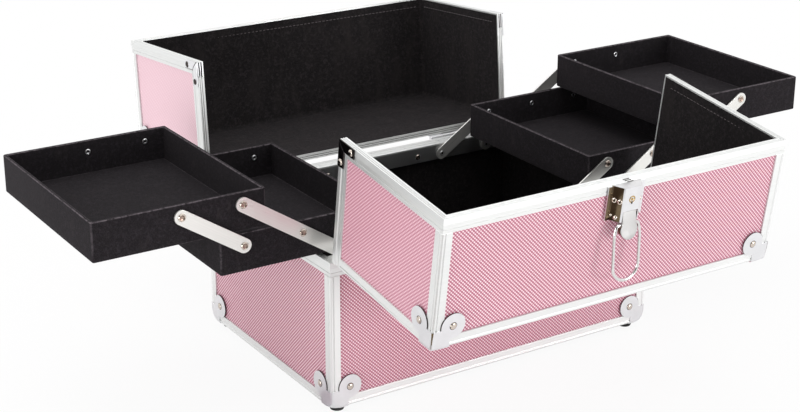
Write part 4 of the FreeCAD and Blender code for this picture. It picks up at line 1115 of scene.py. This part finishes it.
def latchLever():
    # a spade-shaped tab with turned-back sides, drawn round its pin
    bm = bmesh.new()
    neck, tip, sheet, crown = lever["neck"], lever["tip"], latch["sheet"], lever["crown"]
    outer = latch["deep"] - latch["pinDeep"]
    top = (latch["pinDrop"] - latch["face"] - 0.5 - outer * sin(tilt)) / cos(tilt)
    low = top - lever["long"]
    shoulder = top - lever["neckLong"] + 0.2
    half = [(neck, top), (neck, shoulder)]
    half += [(neck + (tip - neck) * share * share * (3 - 2 * share), shoulder - lever["flare"] * share)
             for share in (0.25, 0.5, 0.75, 1)]
    half += [(x, low + tip - y) for x, y in (around(tip, degrees) for degrees in range(0, 90, 12))]
    outline = half + [(0, low)] + [(-x, y) for x, y in reversed(half)]
    middle = (top + low) / 2

    def lift(y):
        # the tab curls a little towards the finger
        return max(0, (low + tip - y) / tip) ** 2 * lever["curl"]

    def band(share, z):
        return [Vector((x * share, middle + (y - middle) * (1 - (1 - share) * 0.45), z + lift(y))) for x, y in outline]

    # the tab's edge band and its turned-back sides take the dark finish: painted shade
    def paintShade(faces):
        for face in faces:
            face.material_index = 1

    bands = ((1, -sheet), (1, -0.35), (0.95, 0), (0.6, crown * 0.8), (0.2, crown))
    paintShade(loft(bm, [band(share, outer + rise) for share, rise in bands])[1][:len(outline)])
    deep = sheet + lever["rim"]
    for sx in (-1, 1):
        rows = [[Vector((sx * (x - inset), y, outer - down)) for x, y in half[4:9]]
                for inset, down in ((0.02, sheet * 0.6), (0.02, deep), (0.9, deep), (0.9, sheet * 0.6))]
        paintShade(loft(bm, rows, False, False, closed=False)[1])
        cheek = [sx * x for x in lever["cheek"]]
        block(bm, sorted(cheek), (-9.7, 2.2), (-2.2, outer - sheet))
        turned(bm, facing((cheek[1], bailY, bailZ), (sx, 0, 0)), lever["eye"], 24)
    where = frontLid @ Matrix.Translation((0, pinY, lidTop + latch["pinDeep"])) @ Matrix.Rotation(-tilt, 4, "X")
    finishPiece("latchLeverTab", bm, where, "leverPlate smoked", "latch_lever", smooth=30)


def latchBail():
    # the wire hangs plumb from the lever's eyes
    eyeY = pinY + bailY * cos(tilt) + bailZ * sin(tilt)
    eyeZ = lidTop + latch["pinDeep"] + bailZ * cos(tilt) - bailY * sin(tilt)
    leg, straight = bail["leg"], bail["long"] - bail["leg"]
    half = [Vector((x, y, 0)) for x, y in ((6.2, 0), (9, 0), (10.4, -0.3), (11.3, -1.2), (11.8, -2.6), (12.3, -4.6),
                                           (12.9, -6.8), (13.3, -9), (leg, -12), (leg, -20), (leg, -30))]
    bend = [Vector((x, -straight - y, 0)) for x, y in (around(leg, degrees) for degrees in range(0, 181, 9))]
    path = half + bend + [Vector((-point.x, point.y, 0)) for point in reversed(half)]
    bm = bmesh.new()
    sweep(bm, path, [(bail["wire"], bail["wire"])] * len(path))
    plumb = Matrix.Rotation(radians(90 - case["frontOpen"]), 4, "X")
    finishPiece("latchBailWire", bm, frontLid @ Matrix.Translation((0, eyeY, eyeZ)) @ plumb, "chrome", "latch_bail",
                smooth=50)


latchHousing()
lockPlug()
latchLever()
latchBail()
print("latch done")


# Carry handle: one moulded loop, fuller along the grip

handle = dict(half=59, reach=34, bend=13, leg=4.0, grip=6.7, ripple=0.35, inset=46, standUp=8.2,
              boss=[(2.05, 0), (3.6, 0), (4, 0.4), (4, 7.6), (3.6, 8), (2.05, 8), (2.05, 0)])


def carryHandle():
    half, reach, radius, leg = handle["half"], handle["reach"], handle["bend"], handle["leg"]
    side = [Vector((half, -y, 0)) for y in (1.5, 6, 11, 16, reach - radius)]
    side += [Vector((half - radius + x, -reach + radius - y, 0))
             for x, y in (around(radius, degrees) for degrees in range(15, 91, 15))]
    grip = [Vector((x, -reach, 0)) for x in range(40, -41, -8)]
    path = side + grip + [Vector((-point.x, point.y, 0)) for point in reversed(side)]
    section = []
    for point in path:
        full = min(1, max(0, 1 - abs(point.x) / (half - leg)) * 2.4)
        full = full * full * (3 - 2 * full)
        fat = leg + (handle["grip"] - leg) * full
        section.append((fat + handle["ripple"] * cos(point.x / 20 * pi) * full, fat))
    bm = bmesh.new()
    sweep(bm, path, section, 20)
    for sx in (-1, 1):
        turned(bm, facing((sx * (half - leg), 0, 0), (sx, 0, 0)), handle["boss"], 24)
    where = lidFrame("rear") @ Matrix.Translation((0, lidSeam - handle["inset"], lidTop + handle["standUp"]))
    plumb = Matrix.Rotation(radians(90 - case["rearOpen"]), 4, "X")
    finishPiece("carryHandleGrip", bm, where @ plumb, "plastic", "carry_handle", smooth=60)


carryHandle()
print("handle done")


# Studio: pale floor that fades into a white surround, soft lamps, cards to reflect, and the camera

white = (1, 1, 1, 1)
studio = dict(
    surround=0.74, floorRadius=6, floorTint=(0.9, 0.9, 0.9, 1), floorFade=(0.3, 0.9),
    floorShown=dict(camera=0.92, glossy=0.55, through=0.92),
    lamps=[("keyLamp", (1.7, -2.3, 2.3), (0, -0.1, 0.15), 3.0, 6),
           ("topLamp", (-0.4, 0.4, 3.2), (0, 0, 0.1), 3.0, 42),
           ("sideLamp", (-2.8, -0.9, 0.45), (0, -0.05, 0.08), 1.0, 27),
           ("frontLamp", (1.2, -2.8, 0.45), (0, -0.1, 0.08), 1.0, 30)],
    cards=[("darkCard", (-1.05, -1.58, 0.85), (2.2, 1.7), 90, (0.07, 0.058, 0.045, 1)),
           ("floorShadowMat", (-0.52, -0.58, 0.003), (0.17, 0.85), 0, (0.2, 0.165, 0.15, 1)),
           ("floorShadowStrip", (-0.265, -0.185, 0.002), (0.06, 0.26), 0, (0.76, 0.72, 0.76, 1))])
photoView = dict(spot=(-0.84415, -1.26812, 0.70484), azimuth=-32.646, elevation=19.897, roll=0.124, lens=75.081,
                 shift=(-0.00129, -0.03184))


def makeFloor():
    look = Look("studioFloor", Base_Color=studio["floorTint"], Roughness=0.9, Specular_IOR_Level=0.1)
    away = look.add("VectorMath", {"operation": "LENGTH"}, {0: look.add("TexCoord", out="Object")}, out="Value")
    glow = look.add("Emission", {}, {"Color": white, "Strength": 1.0})
    fade = look.rays(**studio["floorShown"]).most(look.step(away, *studio["floorFade"]) * look.rays())
    mixed = look.add("MixShader", {}, {0: fade, 1: Wire(look, look.shader.outputs[0]), 2: glow})
    look.join(look.tree.nodes["Material Output"].inputs["Surface"], mixed)
    bm = bmesh.new()
    bmesh.ops.create_circle(bm, cap_ends=True, segments=64, radius=studio["floorRadius"])
    floor = addMesh("studioFloor", bm, [look.material])


def makeSurround():
    # lights the case softly, and is plain white where it is seen
    world = bpy.data.worlds.new("studio")
    bpy.context.scene.world = world
    world.use_nodes = True
    sky = Nodes(world.node_tree)
    soft = sky.tree.nodes["Background"]
    sky.join(soft.inputs["Color"], white)
    sky.join(soft.inputs["Strength"], studio["surround"])
    bright = sky.add("Background", {}, {"Color": white, "Strength": 1.0})
    mixed = sky.add("MixShader", {}, {0: sky.rays(), 1: Wire(sky, soft.outputs[0]), 2: bright})
    sky.join(sky.tree.nodes["World Output"].inputs["Surface"], mixed)


def makeLamps():
    for name, spot, aim, size, watts in studio["lamps"]:
        data = bpy.data.lights.new(name, "AREA")
        data.energy, data.size = watts, size
        lamp = addObject(name, data)
        lamp.location = spot
        lamp.rotation_euler = (Vector(aim) - Vector(spot)).to_track_quat("-Z", "Y").to_euler()


def makeCards():
    # a dark card behind the camera, and a grey mat and strip on the floor to the case's front left, which show only in
    # reflections; the mat and strip stand for the floor's shade there, painted shadow
    for name, spot, (wide, long), lean, tint in studio["cards"]:
        look = Look(name, Base_Color=tint, Roughness=0.9, Specular_IOR_Level=0.0)
        bm = bmesh.new()
        block(bm, (-wide / 2, wide / 2), (-long / 2, long / 2), (-0.001, 0.001))
        board = addMesh(name, bm, [look.material])
        board.location = spot
        board.rotation_euler = (radians(lean), 0, radians(photoView["azimuth"]))
        board.visible_camera = board.visible_diffuse = board.visible_shadow = False


def makeCamera():
    data = bpy.data.cameras.new("photoCamera")
    data.sensor_fit, data.sensor_width, data.lens = "HORIZONTAL", 36, photoView["lens"]
    data.shift_x, data.shift_y = photoView["shift"]
    data.clip_start, data.clip_end = 0.05, 50
    camera = addObject("photoCamera", data)
    camera.location = photoView["spot"]
    turn = Matrix.Rotation(radians(photoView["azimuth"]), 4, "Z")
    turn = turn @ Matrix.Rotation(radians(90 - photoView["elevation"]), 4, "X")
    camera.rotation_euler = (turn @ Matrix.Rotation(radians(photoView["roll"]), 4, "Z")).to_euler()
    bpy.context.scene.camera = camera
    bpy.context.scene.view_settings.view_transform = "Standard"


makeFloor()
makeSurround()
makeLamps()
makeCards()
makeCamera()
print("studio and camera done")
